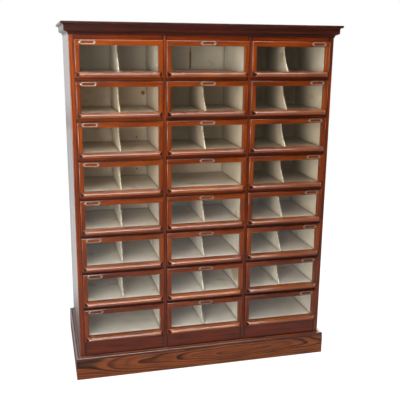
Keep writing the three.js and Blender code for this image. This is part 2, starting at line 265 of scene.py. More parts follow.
class Joinery:
    """Gathers boards and moulded lengths into one mesh, with the data that the shaders read.

    Its tone, which paints light and shade on them, and its age, partly painted warm light, hold for the
    members added next, mark measures from a mark on them, and heart says how far the middle of the log lies
    from them.
    """

    def __init__(self, name):
        self.name = name
        self.dice = random.Random(name)
        self.points = []
        self.faces = []
        self.smooth = []
        self.slots = []
        self.normals = []
        self.mark = None
        self.age = 0.0
        self.tone = 1.0
        self.heart = None
        self.data = {key: [] for key in (*VECTORS, *VALUES)}

    def gather(self, bm, grain, centre, half, bay, material, flat, worn=None):
        """Takes the vertices and faces of one finished member; worn vertices stand in for its roundings."""
        first = len(self.points)
        along = AXES.index(grain)
        order = [along, (along + 1) % 3, (along + 2) % 3]
        chance = self.dice.uniform
        shift = [chance(-6, 6), chance(-0.03, 0.03), chance(0.02, 0.16)]
        if self.heart:
            shift = [chance(-0.3, 0.3), *(axis * chance(0.3, 1.0) for axis in self.heart)]
        flip = self.dice.choice((-1, 1))
        tint = chance(0, 1)
        bm.verts.ensure_lookup_table()
        bm.normal_update()
        for vert in bm.verts:
            place = vert.co - centre
            self.points.append(tuple(vert.co))
            turned = [place[axis] for axis in order]
            turned[0] *= flip
            self.data["grain"].append(tuple(a + b for a, b in zip(turned, shift)))
            self.data["local"].append(tuple(place))
            self.data["half"].append(tuple(half))
            self.data["bay"].append(bay(vert.co) if bay else (FAR, FAR, FAR))
            self.data["mark"].append(self.mark(vert.co) if self.mark else (FAR, FAR, FAR))
            self.data["age"].append(self.age)
            self.data["tone"].append(self.tone(vert.co) if callable(self.tone) else self.tone)
            self.data["tint"].append(tint)
            rounded = not any(face in flat for face in vert.link_faces) if worn is None else vert in worn
            self.data["arris"].append(1.0 if rounded else 0.0)
        for face in bm.faces:
            self.faces.append([first + vert.index for vert in face.verts])
            self.smooth.append(face not in flat)
            self.slots.append(material(face) if callable(material) else material)
            self.normals += [self._corner_normal(face, vert, flat) for vert in face.verts]
        bm.free()

    @staticmethod
    def _corner_normal(face, vert, flat):
        """A flat face keeps its own normal, and a rounding takes it at their rim; nought is automatic."""
        if face in flat:
            return tuple(face.normal)
        beside = [
            other.normal for other in vert.link_faces if other in flat and other.normal.dot(face.normal) > 0.3
        ]
        return tuple(sum(beside, Vector()).normalized()) if beside else (0.0, 0.0, 0.0)

    def board(self, low, high, grain="x", arris=0.0006, rounds=None, bay=None, material=0, beyond=None):
        """A squared board; rounds gives the radius of chosen edges, such as {"-y+z": 0.003}.

        The painted shade line of a seam, and the grime and painted shade along edges, follow an outline that
        reaches beyond the sides that are named, where no seam shows.
        """
        low, high = Vector(low), Vector(high)
        centre, size = (low + high) / 2, high - low
        bm = bmesh.new()
        bmesh.ops.create_cube(bm, size=1.0, matrix=Matrix.Translation(centre) @ Matrix.Diagonal((*size, 1.0)))
        planes = {"-": low, "+": high}
        for radius in sorted(set((rounds or {}).values()), reverse=True):
            sides = [key for key, value in rounds.items() if value == radius]
            picked = [edge for edge in bm.edges if any(self._lies_on(edge, key, planes) for key in sides)]
            round_edges(bm, picked, radius, ROUND_STEPS)
        sharp = [edge for edge in bm.edges if len(edge.link_faces) == 2 and edge.calc_face_angle() > 1.0]
        if arris and sharp:
            round_edges(bm, sharp, arris)
        bm.normal_update()
        flat = {face for face in bm.faces if max(abs(value) for value in face.normal) > 0.9999}
        for side, reach in (beyond or {}).items():
            index = AXES.index(side[1])
            planes[side[0]] = planes[side[0]].copy()
            planes[side[0]][index] += reach if side[0] == "+" else -reach
        middle, half = (planes["-"] + planes["+"]) / 2, (planes["+"] - planes["-"]) / 2
        self.gather(bm, grain, middle, half, bay, material, flat)

    @staticmethod
    def _lies_on(edge, key, planes):
        """True if an edge lies on both of the sides that a key such as "-y+z" names."""
        for sign, axis in zip(key[::2], key[1::2]):
            index = AXES.index(axis)
            if any(abs(vert.co[index] - planes[sign][index]) > 1e-6 for vert in edge.verts):
                return False
        return True

    def moulded(self, profile, places, grain="x", arris=0.0, material=0, worn=()):
        """A moulded length: a closed profile of (out, up) points carried past a row of places; its worn points
        mark an arris, lightened as a painted highlight on a pull and darkened as painted shade on the plinth's
        bead.
        """
        bm = bmesh.new()
        rings = [[bm.verts.new(place(out, up)) for out, up in profile] for place in places]
        for near, far in zip(rings, rings[1:]):
            join_rings(bm, near, far)
        caps = [bm.faces.new(list(reversed(rings[0]))), bm.faces.new(rings[-1])]
        bmesh.ops.recalc_face_normals(bm, faces=bm.faces)
        if arris:
            ends = list({edge for cap in caps for edge in cap.edges if edge.calc_face_angle() > 0.3})
            round_edges(bm, ends, arris)
        low = Vector([min(vert.co[axis] for vert in bm.verts) for axis in range(3)])
        high = Vector([max(vert.co[axis] for vert in bm.verts) for axis in range(3)])
        bm.normal_update()
        flat = {face for face in bm.faces if len(face.verts) > 4}
        no_edges = Vector((FAR, FAR, FAR))
        rubbed = {ring[index] for ring in rings for index in worn}
        self.gather(bm, grain, (low + high) / 2, no_edges, None, material, flat, rubbed)

    def build(self, body, slot, *materials, stands_for=(), sharp=0.6):
        """The finished mesh as one piece that rides on a body."""
        mesh = bpy.data.meshes.new(self.name)
        mesh.from_pydata(self.points, [], self.faces)
        mesh.polygons.foreach_set("material_index", self.slots)
        for key, values in self.data.items():
            if key in VALUES:
                mesh.attributes.new(key, "FLOAT", "POINT").data.foreach_set("value", values)
            else:
                flat = [number for row in values for number in row]
                mesh.attributes.new(key, "FLOAT_VECTOR", "POINT").data.foreach_set("vector", flat)
        mesh.set_sharp_from_angle(angle=sharp)
        mesh.polygons.foreach_set("use_smooth", self.smooth)
        mesh.normals_split_custom_set(self.normals)
        for material in materials:
            mesh.materials.append(material)
        return place_piece(new_object(self.name, mesh), body, stands_for)


def new_object(name, data):
    """An object in the scene's own collection."""
    made = bpy.data.objects.new(name, data)
    bpy.context.scene.collection.objects.link(made)
    return made


def round_edges(bm, edges, radius, steps=ARRIS_STEPS):
    """Rounds some edges of a mesh that is being built."""
    bmesh.ops.bevel(
        bm, geom=edges, offset=radius, segments=steps, profile=0.5, affect="EDGES", clamp_overlap=True
    )


def join_rings(bm, near, far):
    """Faces between two closed rings of as many vertices."""
    for index in range(len(near)):
        after = (index + 1) % len(near)
        bm.faces.new((near[index], near[after], far[after], far[index]))


def place_piece(piece, body, stands_for=()):
    """Lets a piece ride on its body, and hides the frame's nodes that it stands for."""
    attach(piece, body)
    if stands_for:
        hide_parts(*stands_for)
    return piece


def curve_points(start, bend, end, steps):
    """Points of a smooth bend from start to end, drawn towards the bend point."""
    points = []
    for index in range(steps + 1):
        t = index / steps
        weights = ((1 - t) ** 2, 2 * t * (1 - t), t * t)
        marks = list(zip(weights, (start, bend, end)))
        points.append(tuple(sum(weight * mark[axis] for weight, mark in marks) for axis in range(2)))
    return points


# Shader helpers and the effects that several finishes share


def wire(tree, kind, inputs=None, **options):
    """Adds a node, sets its options, and fills or links its inputs."""
    node = tree.nodes.new(kind)
    for key, value in options.items():
        setattr(node, key, value)
    for key, value in (inputs or {}).items():
        socket = node.inputs[key]
        if isinstance(value, bpy.types.NodeSocket):
            tree.links.new(value, socket)
        elif socket.type == "RGBA" and len(value) == 3:
            socket.default_value = (*value, 1.0)
        else:
            socket.default_value = value
    return node


def maths(tree, operation, first, second=0.0, third=0.0, clamp=False):
    """The result of a Math node."""
    node = wire(tree, "ShaderNodeMath", {0: first, 1: second, 2: third}, operation=operation, use_clamp=clamp)
    return node.outputs[0]


def ramp(tree, value, start, end, low=0.0, high=1.0):
    """A smooth step of a value, from start to end."""
    node = wire(
        tree, "ShaderNodeMapRange",
        {"Value": value, "From Min": start, "From Max": end, "To Min": low, "To Max": high},
        interpolation_type="SMOOTHSTEP",
    )
    return node.outputs["Result"]


def blend(tree, factor, first, second, kind="MIX"):
    """A mix of two colours."""
    node = wire(tree, "ShaderNodeMix", {0: factor, 6: first, 7: second}, data_type="RGBA", blend_type=kind)
    return node.outputs[2]


def stretched(tree, vector, scale):
    """A vector scaled along its three axes."""
    return wire(tree, "ShaderNodeVectorMath", {0: vector, 1: scale}, operation="MULTIPLY").outputs[0]


def cloud(tree, vector, scale, detail=3.0, roughness=0.55):
    """The value of a noise texture."""
    node = wire(
        tree, "ShaderNodeTexNoise",
        {"Vector": vector, "Scale": scale, "Detail": detail, "Roughness": roughness},
    )
    return node.outputs["Fac"]


def new_group(name, inputs, outputs):
    """An empty shader group with named sockets, given as (name, kind, default)."""
    group = bpy.data.node_groups.new(name, "ShaderNodeTree")
    for label, kind, default in inputs:
        socket = group.interface.new_socket(label, in_out="INPUT", socket_type=f"NodeSocket{kind}")
        if kind == "Float":
            socket.default_value = default
    for label in outputs:
        group.interface.new_socket(label, in_out="OUTPUT", socket_type="NodeSocketFloat")
    return group, group.nodes.new("NodeGroupInput").outputs, group.nodes.new("NodeGroupOutput").inputs


def figure_group():
    """Growth rings, fibre streaks and pores of a sawn board, in the board's own coordinates."""
    group, given, made = new_group(
        "Timber figure",
        [("Vector", "Vector", None), ("Spacing", "Float", 0.006), ("Tilt", "Float", 0.03),
         ("Warp", "Float", 0.02), ("Lean", "Float", 0.0)],
        ["Rings", "Streaks", "Pores", "Mottle"],
    )
    grain = given["Vector"]
    parts = wire(group, "ShaderNodeSeparateXYZ", {0: grain}).outputs
    slow = stretched(group, grain, (2.2, 9.0, 9.0))
    sway = wire(group, "ShaderNodeTexNoise", {"Vector": slow, "Scale": 1.0, "Detail": 2.0}).outputs["Color"]
    sways = wire(group, "ShaderNodeSeparateXYZ", {0: sway}).outputs
    across = maths(group, "MULTIPLY_ADD", maths(group, "SUBTRACT", sways[0], 0.5), given["Warp"], parts[1])
    depth = maths(group, "MULTIPLY_ADD", maths(group, "SUBTRACT", sways[1], 0.5), given["Warp"], parts[2])
    depth = maths(group, "MULTIPLY_ADD", parts[0], given["Tilt"], depth)
    across = maths(group, "MULTIPLY_ADD", parts[0], given["Lean"], across)
    radius = maths(group, "SQRT", maths(group, "ADD", maths(group, "POWER", across, 2.0),
                                        maths(group, "POWER", depth, 2.0)))
    turns = maths(group, "DIVIDE", radius, given["Spacing"])
    share = maths(group, "FRACT", turns)
    line = maths(group, "MULTIPLY", ramp(group, share, 0.35, 0.86), ramp(group, share, 1.0, 0.92))
    years = wire(group, "ShaderNodeTexWhiteNoise", {"W": maths(group, "FLOOR", turns)}, noise_dimensions="1D")
    strength = maths(group, "MULTIPLY_ADD", years.outputs["Value"], 0.7, 0.3)
    group.links.new(maths(group, "MULTIPLY", line, strength), made["Rings"])
    fibres = stretched(group, grain, (5.0, 260.0, 260.0))
    group.links.new(cloud(group, fibres, 1.0, 4.0, 0.6), made["Streaks"])
    dashes = cloud(group, stretched(group, grain, (60.0, 1400.0, 1400.0)), 1.0, 1.0)
    group.links.new(ramp(group, dashes, 0.6, 0.74), made["Pores"])
    group.links.new(cloud(group, stretched(group, grain, (6.0, 22.0, 22.0)), 1.0, 2.0), made["Mottle"])
    return group


def edge_group():
    """Distance from the nearest edge of a board; the wear there, partly a painted highlight; the grime there,
    partly painted shade; and a painted shade line along a seam.
    """
    group, given, made = new_group(
        "Edge wear",
        [("Local", "Vector", None), ("Half", "Vector", None), ("Arris", "Float", 0.0),
         ("Reach", "Float", 0.004), ("Joint", "Float", 0.0)],
        ["Wear", "Grime", "Seam"],
    )
    place = wire(group, "ShaderNodeVectorMath", {0: given["Local"]}, operation="ABSOLUTE").outputs[0]
    left = wire(group, "ShaderNodeVectorMath", {0: given["Half"], 1: place}, operation="SUBTRACT").outputs[0]
    x, y, z = wire(group, "ShaderNodeSeparateXYZ", {0: left}).outputs
    least = maths(group, "MINIMUM", maths(group, "MINIMUM", x, y), z)
    most = maths(group, "MAXIMUM", maths(group, "MAXIMUM", x, y), z)
    total = maths(group, "ADD", maths(group, "ADD", x, y), z)
    middle = maths(group, "SUBTRACT", maths(group, "SUBTRACT", total, least), most)
    near = ramp(group, middle, given["Reach"], 0.0)
    patchy = ramp(group, cloud(group, given["Local"], 55.0, 3.0), 0.38, 0.66)
    # Rubbed arrises: real wear, and a painted highlight
    rubbed = maths(group, "MAXIMUM", maths(group, "MULTIPLY", near, 0.35), given["Arris"])
    group.links.new(maths(group, "MULTIPLY", rubbed, patchy), made["Wear"])
    # Grime near the edges, and painted shade along the joints
    grime_and_shade = maths(group, "MULTIPLY", near, ramp(group, cloud(group, given["Local"], 24.0, 3.0), 0.7, 0.35))
    group.links.new(grime_and_shade, made["Grime"])
    # A painted shade line along the outline, where a seam lies in shadow
    edge_of_seam = maths(group, "ADD", given["Joint"], 0.003)
    group.links.new(ramp(group, middle, edge_of_seam, given["Joint"]), made["Seam"])
    return group


def corner_group():
    """Painted shade in the inner corners of a tray, from the place inside the tray, and a dark line along the
    corners.
    """
    group, given, made = new_group(
        "Corner grime",
        [("Bay", "Vector", None), ("Half", "Float", 0.174), ("Divided", "Float", 1.0),
         ("Reach", "Float", 0.02)],
        ["Mask", "Line"],
    )
    x, y, z = wire(group, "ShaderNodeSeparateXYZ", {0: given["Bay"]}).outputs
    away = maths(group, "ABSOLUTE", x)
    wall = maths(group, "ABSOLUTE", maths(group, "SUBTRACT", away, given["Half"]))
    centre = maths(group, "ADD", away, maths(group, "SUBTRACT", 1.0, given["Divided"]))
    nearest = maths(group, "MINIMUM", maths(group, "MINIMUM", wall, centre), maths(group, "MINIMUM", y, z))
    ragged = maths(group, "MULTIPLY_ADD", cloud(group, given["Bay"], 60.0, 4.0), 0.016, nearest)
    group.links.new(ramp(group, ragged, given["Reach"], 0.004), made["Mask"])
    group.links.new(ramp(group, nearest, 0.0035, 0.0008), made["Line"])
    return group


def paint_group():
    """Old brushed paint: brush marks, broad stains and small rusty spots."""
    group, given, made = new_group(
        "Old paint",
        [("Vector", "Vector", None), ("Seed", "Float", 0.0)],
        ["Brush", "Stain", "Spots", "Speckle"],
    )
    far = maths(group, "MULTIPLY", given["Seed"], 37.0)
    offset = wire(group, "ShaderNodeCombineXYZ", {0: far, 1: far, 2: far}).outputs[0]
    place = wire(group, "ShaderNodeVectorMath", {0: given["Vector"], 1: offset}, operation="ADD").outputs[0]
    group.links.new(cloud(group, stretched(group, place, (12.0, 220.0, 220.0)), 1.0, 4.0), made["Brush"])
    group.links.new(ramp(group, cloud(group, place, 7.0, 3.0), 0.64, 0.72), made["Stain"])
    spots = wire(group, "ShaderNodeTexVoronoi", {"Vector": place, "Scale": 9.0}, feature="F1")
    ragged = maths(group, "MULTIPLY_ADD", cloud(group, place, 160.0, 3.0), 0.09, spots.outputs["Distance"])
    chosen = wire(group, "ShaderNodeSeparateXYZ", {0: spots.outputs["Color"]}).outputs[0]
    rare = ramp(group, chosen, 0.86, 0.88)
    group.links.new(maths(group, "MULTIPLY", ramp(group, ragged, 0.085, 0.06), rare), made["Spots"])
    group.links.new(ramp(group, cloud(group, place, 420.0, 2.0), 0.62, 0.8), made["Speckle"])
    return group


def dust_group():
    """Thin dust on what faces up, broken by a cloud."""
    group, given, made = new_group(
        "Settled dust", [("Vector", "Vector", None), ("Amount", "Float", 0.3)], ["Mask"]
    )
    normal = group.nodes.new("ShaderNodeNewGeometry").outputs["Normal"]
    up = wire(group, "ShaderNodeSeparateXYZ", {0: normal}).outputs[2]
    patchy = ramp(group, cloud(group, given["Vector"], 18.0, 4.0), 0.3, 0.75)
    lying = maths(group, "MULTIPLY", ramp(group, up, 0.6, 0.98), patchy)
    group.links.new(maths(group, "MULTIPLY", lying, given["Amount"]), made["Mask"])
    return group


# Dust on the polish, grime in the joints of raw boards, and the dark line along a tray's corners
DUST = srgb(150, 138, 122)
RAW_GRIME = srgb(58, 44, 32)
CORNER_LINE = srgb(52, 42, 30)

# Share of the painted shade at the back of a tray that its floor keeps at the front
FLOOR_SHADING = 0.75

GROUPS = {
    "Timber figure": figure_group,
    "Edge wear": edge_group,
    "Corner grime": corner_group,
    "Old paint": paint_group,
    "Settled dust": dust_group,
}


def effect(tree, name, inputs):
    """Places a shared effect in a material and returns its outputs."""
    node = tree.nodes.new("ShaderNodeGroup")
    node.node_tree = bpy.data.node_groups.get(name) or GROUPS[name]()
    for label, value in inputs.items():
        if isinstance(value, bpy.types.NodeSocket):
            tree.links.new(value, node.inputs[label])
        else:
            node.inputs[label].default_value = value
    return node.outputs


def start_material(name, **values):
    """A material with its tree and its Principled shader, plain values set on the shader's own sockets."""
    material = bpy.data.materials.new(name)
    material.use_nodes = True
    tree = material.node_tree
    shader = tree.nodes["Principled BSDF"]
    for label, value in values.items():
        shader.inputs[label.replace("_", " ")].default_value = value
    return material, tree, shader


def read(tree, name, vector=True):
    """A mesh attribute as a vector or a value."""
    node = wire(tree, "ShaderNodeAttribute", attribute_name=name)
    return node.outputs["Vector" if vector else "Fac"]


def bump(tree, shader, height, depth, strength=0.5):
    """Links a height to the shader's normal."""
    node = wire(tree, "ShaderNodeBump", {"Height": height, "Distance": depth, "Strength": strength})
    tree.links.new(node.outputs["Normal"], shader.inputs["Normal"])


def tinted(tree, colour, mask, share, tint):
    """A colour with another over it where a mask shows, up to a share."""
    return blend(tree, maths(tree, "MULTIPLY", mask, share), colour, tint)


def times(colour, share):
    """A colour with each of its channels multiplied."""
    return tuple(channel * share for channel in colour)


def edge_wear_and_shade(tree, **values):
    """The shared edge wear and painted edge shade, fed with the place and the size that each board notes in
    its mesh.
    """
    known = {key: read(tree, key.lower()) for key in ("Local", "Half")}
    return effect(tree, "Edge wear", {**known, "Arris": read(tree, "arris", vector=False), **values})


def polished_wood(name, light, dark, line, spacing=0.0042, tilt=0.012, warp=0.010, lines=0.35, lean=0.0,
                  gloss=0.27, coat=0.9, blur=0.18, density=1.5, relief=0.12, grime=0.45, reach=0.005,
                  seam=0.0, joint=0.0045, wear=0.2, polished_edge=False, bead=None):
    """French-polished wood: figure, board-to-board tone with painted light and shade, arrises rubbed and lit
    by a painted highlight, grime and painted shade along edges and seams, a bead darkened as painted shade,
    thin dust.
    """
    material, tree, shader = start_material(
        name, Coat_Weight=coat, Coat_Roughness=blur, Specular_IOR_Level=0.3, IOR=1.5, Coat_IOR=density
    )
    grain = read(tree, "grain")
    arris = read(tree, "arris", vector=False)
    figure = effect(tree, "Timber figure", {
        "Vector": grain, "Spacing": spacing, "Tilt": tilt, "Warp": warp, "Lean": lean,
    })
    edge = edge_wear_and_shade(tree, Reach=reach, Joint=joint)
    mottle = maths(tree, "MULTIPLY", figure["Mottle"], 0.55)
    tone = maths(tree, "MULTIPLY_ADD", figure["Streaks"], 0.9, mottle)
    colour = blend(tree, ramp(tree, tone, 0.42, 1.02), light, dark)
    colour = tinted(tree, colour, figure["Rings"], lines, line)
    colour = tinted(tree, colour, figure["Pores"], 0.35, line)
    # The tone is painted light and shade on the fronts, pulls, stiles and rails
    tint = ramp(tree, read(tree, "tint", vector=False), 0.0, 1.0, 0.84, 1.12)
    board = maths(tree, "MULTIPLY", tint, read(tree, "tone", vector=False))
    green = maths(tree, "POWER", board, 1.35)
    shade = wire(tree, "ShaderNodeCombineXYZ", {0: board, 1: green, 2: board}).outputs[0]
    colour = blend(tree, 1.0, colour, shade, "MULTIPLY")
    # Grime and painted shade along the edges, and a painted shade line along the seams
    colour = tinted(tree, colour, edge["Grime"], grime, times(dark, 0.12))
    if seam:
        colour = tinted(tree, colour, edge["Seam"], seam, times(dark, 0.08))
    # Rubbed arrises lightened as wear and as a painted highlight, evenly along a pull's brow
    worn = edge["Wear"]
    if polished_edge:
        patches = cloud(tree, stretched(tree, grain, (3.0, 30.0, 30.0)), 1.0, 2.0)
        worn = maths(tree, "MULTIPLY", arris, ramp(tree, patches, 0.3, 0.7, 0.75, 1.0))
    colour = tinted(tree, colour, worn, wear, tuple(min(1.0, c * 1.1 + 0.12) for c in light))
    # The plinth's bead and quirk darkened as painted shade, with a fuller coat
    if bead:
        colour = tinted(tree, colour, arris, 0.8, bead)
        tree.links.new(ramp(tree, arris, 0.3, 0.9, coat, 1.0), shader.inputs["Coat Weight"])
    dust = effect(tree, "Settled dust", {"Vector": grain, "Amount": 0.06})["Mask"]
    tree.links.new(blend(tree, dust, colour, DUST), shader.inputs["Base Color"])
    rough = maths(tree, "MULTIPLY_ADD", figure["Mottle"], 0.16, gloss - 0.05)
    rough = maths(tree, "MULTIPLY_ADD", edge["Wear"], 0.12, rough)
    rough = maths(tree, "MULTIPLY_ADD", dust, 0.5, rough, clamp=True)
    tree.links.new(rough, shader.inputs["Roughness"])
    sunk = maths(tree, "MULTIPLY", figure["Rings"], -0.3)
    height = maths(tree, "ADD", maths(tree, "MULTIPLY", figure["Pores"], -0.7), sunk)
    height = maths(tree, "MULTIPLY_ADD", figure["Streaks"], 0.3, height)
    bump(tree, shader, height, 0.0003, relief)
    return material


def raw_wood(colours):
    """Unpolished softwood, darkened by age."""
    light, dark = colours.raw_light[:], colours.raw_dark[:]
    material, tree, shader = start_material("Raw wood", Specular_IOR_Level=0.25)
    figure = effect(tree, "Timber figure", {
        "Vector": read(tree, "grain"), "Spacing": 0.004, "Tilt": 0.025, "Warp": 0.015,
    })
    edge = edge_wear_and_shade(tree, Reach=0.008)
    colour = blend(tree, ramp(tree, figure["Streaks"], 0.35, 0.7), light, dark)
    colour = tinted(tree, colour, figure["Rings"], 0.6, dark)
    board = ramp(tree, read(tree, "tint", vector=False), 0.0, 1.0, 0.75, 1.08)
    shade = wire(tree, "ShaderNodeCombineXYZ", {0: board, 1: board, 2: board}).outputs[0]
    colour = blend(tree, 1.0, colour, shade, "MULTIPLY")
    colour = tinted(tree, colour, edge["Grime"], 0.6, RAW_GRIME)
    tree.links.new(colour, shader.inputs["Base Color"])
    tree.links.new(maths(tree, "MULTIPLY_ADD", figure["Mottle"], 0.2, 0.58), shader.inputs["Roughness"])
    bump(tree, shader, maths(tree, "SUBTRACT", figure["Streaks"], figure["Pores"]), 0.0006, 0.5)
    return material


def tray_paint(name, fresh, aged, colours, divided, half, spread=0.0):
    """Off-white paint inside a tray: yellowed and partly warmed as painted light, darkened at the back and in
    the corners as painted shade, dirty, marked where a board says so.
    """
    material, tree, shader = start_material(name, Specular_IOR_Level=0.3)
    grain, bay, mark = (read(tree, key) for key in ("grain", "bay", "mark"))
    paint = effect(tree, "Old paint", {"Vector": grain, "Seed": read(tree, "tint", vector=False)})
    corner = effect(tree, "Corner grime", {
        "Bay": bay, "Half": half, "Divided": 1.0 if divided else 0.0, "Reach": 0.03,
    })
    brushed = maths(tree, "MULTIPLY", paint["Brush"], 0.4)
    tone = maths(tree, "MULTIPLY_ADD", cloud(tree, grain, 16.0, 3.0), 0.6, brushed)
    pale = wire(tree, "ShaderNodeSeparateXYZ", {0: mark}).outputs[1]
    mark_tint = blend(tree, ramp(tree, pale, 0.2, 0.5), colours.rust[:], colours.paint_stain[:])
    chipped = ramp(tree, cloud(tree, grain, 90.0), 0.5, 0.6)
    # Painted shade at the back, dirt, stains and speckle, painted shade in the corners with a dark line along
    # them, rusty spots, marks and chips
    layers = (
        (shading(tree, bay, spread), 1.0, colours.tray_shade[:]),
        (ramp(tree, tone, 0.3, 0.75), 0.22, colours.paint_dirt_and_shade[:]),
        (paint["Stain"], 0.55, colours.paint_stain[:]),
        (paint["Speckle"], 0.25, colours.paint_dirt_and_shade[:]),
        (corner["Mask"], 0.35, colours.paint_dirt_and_shade[:]),
        (corner["Line"], 0.7, CORNER_LINE),
        (paint["Spots"], 0.85, colours.rust[:]),
        (placed_mark(tree, mark, grain), 0.9, mark_tint),
        (maths(tree, "MULTIPLY", read(tree, "arris", vector=False), chipped), 0.7, colours.raw_dark[:]),
    )
    # Paint yellowed by age, and warmer in the upper trays as painted bounce light
    colour = blend(tree, read(tree, "age", vector=False), fresh, aged)
    for mask, share, tint in layers:
        colour = tinted(tree, colour, mask, share, tint)
    tree.links.new(colour, shader.inputs["Base Color"])
    tree.links.new(maths(tree, "MULTIPLY_ADD", tone, 0.2, 0.5), shader.inputs["Roughness"])
    bump(tree, shader, paint["Brush"], 0.0004, 0.35)
    return material


def shading(tree, bay, spread):
    """Painted shade in a tray: as much as its boards say, most on the back and down to a share at the front.
    """
    depth = wire(tree, "ShaderNodeSeparateXYZ", {0: bay}).outputs[1]
    on_back = ramp(tree, depth, 1.0, 2.0)
    near_back = maths(tree, "MAXIMUM", ramp(tree, depth, 0.27, 0.03, spread, 1.0), on_back)
    amount = maths(tree, "SUBTRACT", 1.0, read(tree, "tone", vector=False))
    return maths(tree, "MULTIPLY", amount, near_back)


def placed_mark(tree, mark, grain):
    """A ragged mark at the place that a board gives in its mark attribute, where one is the mark's edge."""
    place = wire(tree, "ShaderNodeVectorMath", {0: mark}, operation="ABSOLUTE").outputs[0]
    x, y, z = wire(tree, "ShaderNodeSeparateXYZ", {0: place}).outputs
    slanted = maths(tree, "MULTIPLY", maths(tree, "ADD", x, z), 0.75)
    away = maths(tree, "MAXIMUM", maths(tree, "MAXIMUM", x, z), slanted)
    away = maths(tree, "MAXIMUM", away, y)
    ragged = maths(tree, "MULTIPLY_ADD", cloud(tree, grain, 130.0, 3.0), 1.6, away)
    return ramp(tree, ragged, 1.75, 1.45)


def nickel(colours):
    """Dull plated metal with tarnish in its hollows."""
    material, tree, shader = start_material("Dull nickel", Metallic=0.85)
    place = wire(tree, "ShaderNodeTexCoord").outputs["Object"]
    patchy = ramp(tree, cloud(tree, place, 190.0, 4.0), 0.4, 0.68)
    colour = tinted(tree, colours.metal[:], patchy, 0.55, colours.metal_dark[:])
    tree.links.new(colour, shader.inputs["Base Color"])
    tree.links.new(maths(tree, "MULTIPLY_ADD", patchy, 0.25, 0.38), shader.inputs["Roughness"])
    bump(tree, shader, cloud(tree, place, 900.0, 2.0), 0.0002, 0.3)
    return material


def pane_glass(colours):
    """Drawn glass, faintly wavy and hazy, which lets the lamps through."""
    material, tree, shader = start_material(
        "Pane glass", Transmission_Weight=1.0, IOR=1.45, Specular_IOR_Level=0.5
    )
    place = wire(tree, "ShaderNodeTexCoord").outputs["Object"]
    haze = ramp(tree, cloud(tree, place, 14.0, 4.0), 0.35, 0.8)
    shader.inputs["Base Color"].default_value = (*colours.glass[:], 1.0)
    tree.links.new(maths(tree, "MULTIPLY", haze, 0.04), shader.inputs["Roughness"])
    bump(tree, shader, cloud(tree, stretched(tree, place, (6.0, 6.0, 16.0)), 1.0, 1.0), 0.002, 0.06)
    clear = wire(tree, "ShaderNodeBsdfTransparent", {"Color": (0.95, 0.97, 0.96)})
    shadow = wire(tree, "ShaderNodeLightPath").outputs["Is Shadow Ray"]
    mixed = wire(tree, "ShaderNodeMixShader", {0: shadow, 1: shader.outputs[0], 2: clear.outputs[0]})
    tree.links.new(mixed.outputs[0], tree.nodes["Material Output"].inputs["Surface"])
    return material


def finishes(context):
    """All the cabinet's materials by name, made once."""
    colours = settings(context).finish
    sizes = settings(context).drawer
    inner_half = tray_box(drawer_place(1, 1), sizes)[0] - sizes.side
    line, end = colours.line[:], colours.end_grain[:]
    walls = (colours.paint[:], colours.paint_aged_and_warm_lit[:], colours)
    floors = (colours.floor_paint[:], colours.floor_aged_and_warm_lit[:], colours)

    def wood(key, name, **values):
        """Polished wood in the light and the dark colour of one kind of piece."""
        light, dark = (getattr(colours, f"{key}_{shade}")[:] for shade in ("light", "dark"))
        return polished_wood(name, light, dark, **{"line": line, **values})

    makers = {
        # The fronts and the case get a painted shade line along their seams and painted shade along their
        # edges
        "front": lambda: wood("front", "Front polish", seam=0.75, joint=0.001),
        # The pull's brow is lightened evenly as a painted highlight
        "pull": lambda: wood("pull", "Pull polish", wear=0.12, density=2.3, polished_edge=True, blur=0.1),
        "case": lambda: wood(
            "case", "Carcass polish", spacing=0.0046, tilt=0.010, grime=0.65, reach=0.009, seam=0.7),
        # The plinth's bead is darkened as painted shade
        "plinth": lambda: wood(
            "plinth", "Plinth polish", line=colours.plinth_line[:], spacing=0.010, tilt=0.0, warp=0.05,
            lines=1.0, lean=0.085, gloss=0.32, coat=0.25, density=2.0, relief=0.3, wear=0.05,
            bead=colours.bead[:]),
        "cornice": lambda: wood(
            "cornice", "Cornice polish", line=colours.cornice_dark[:], spacing=0.006, tilt=0.008,
            warp=0.012, lines=0.7, gloss=0.33, coat=0.4),
        "end": lambda: polished_wood(
            "End grain polish", end, times(end, 0.4), line, gloss=0.5, coat=0.15),
        "raw": lambda: raw_wood(colours),
        "paint": lambda: tray_paint("Tray paint", *walls, True, inner_half),
        "paint_open": lambda: tray_paint("Open tray paint", *walls, False, inner_half),
        "floor": lambda: tray_paint("Tray floor paint", *floors, True, inner_half, FLOOR_SHADING),
        "floor_open": lambda: tray_paint("Open tray floor paint", *floors, False, inner_half, FLOOR_SHADING),
        "metal": lambda: nickel(colours),
        "glass": lambda: pane_glass(colours),
    }
    return {key: kept_material(key, maker) for key, maker in makers.items()}


def kept_material(key, maker):
    """A material made the first time it is asked for."""
    for material in bpy.data.materials:
        if material.get("cabinet_finish") == key:
            return material
    material = maker()
    material["cabinet_finish"] = key
    return material


# Drawers

# Radius of the worn arrises of each kind of member
ARRIS = {
    "front": 0.0004, "foot rail": 0.0006, "tongue": 0.0005, "bead": 0.0008, "tray": 0.0008,
    "tray floor": 0.0003, "divider": 0.0009, "holder": 0.00012, "side": 0.0004, "runner": 0.0012,
    "partition": 0.0008, "top": 0.0005, "bottom": 0.001, "back": 0.0006,
}

# How far the outline of a member goes beyond a side where no seam shows
NO_SEAM = 0.03


def listed(values, number):
    """The value for a number that counts from one; the last value holds for all that follow."""
    return values[min(number, len(values)) - 1]


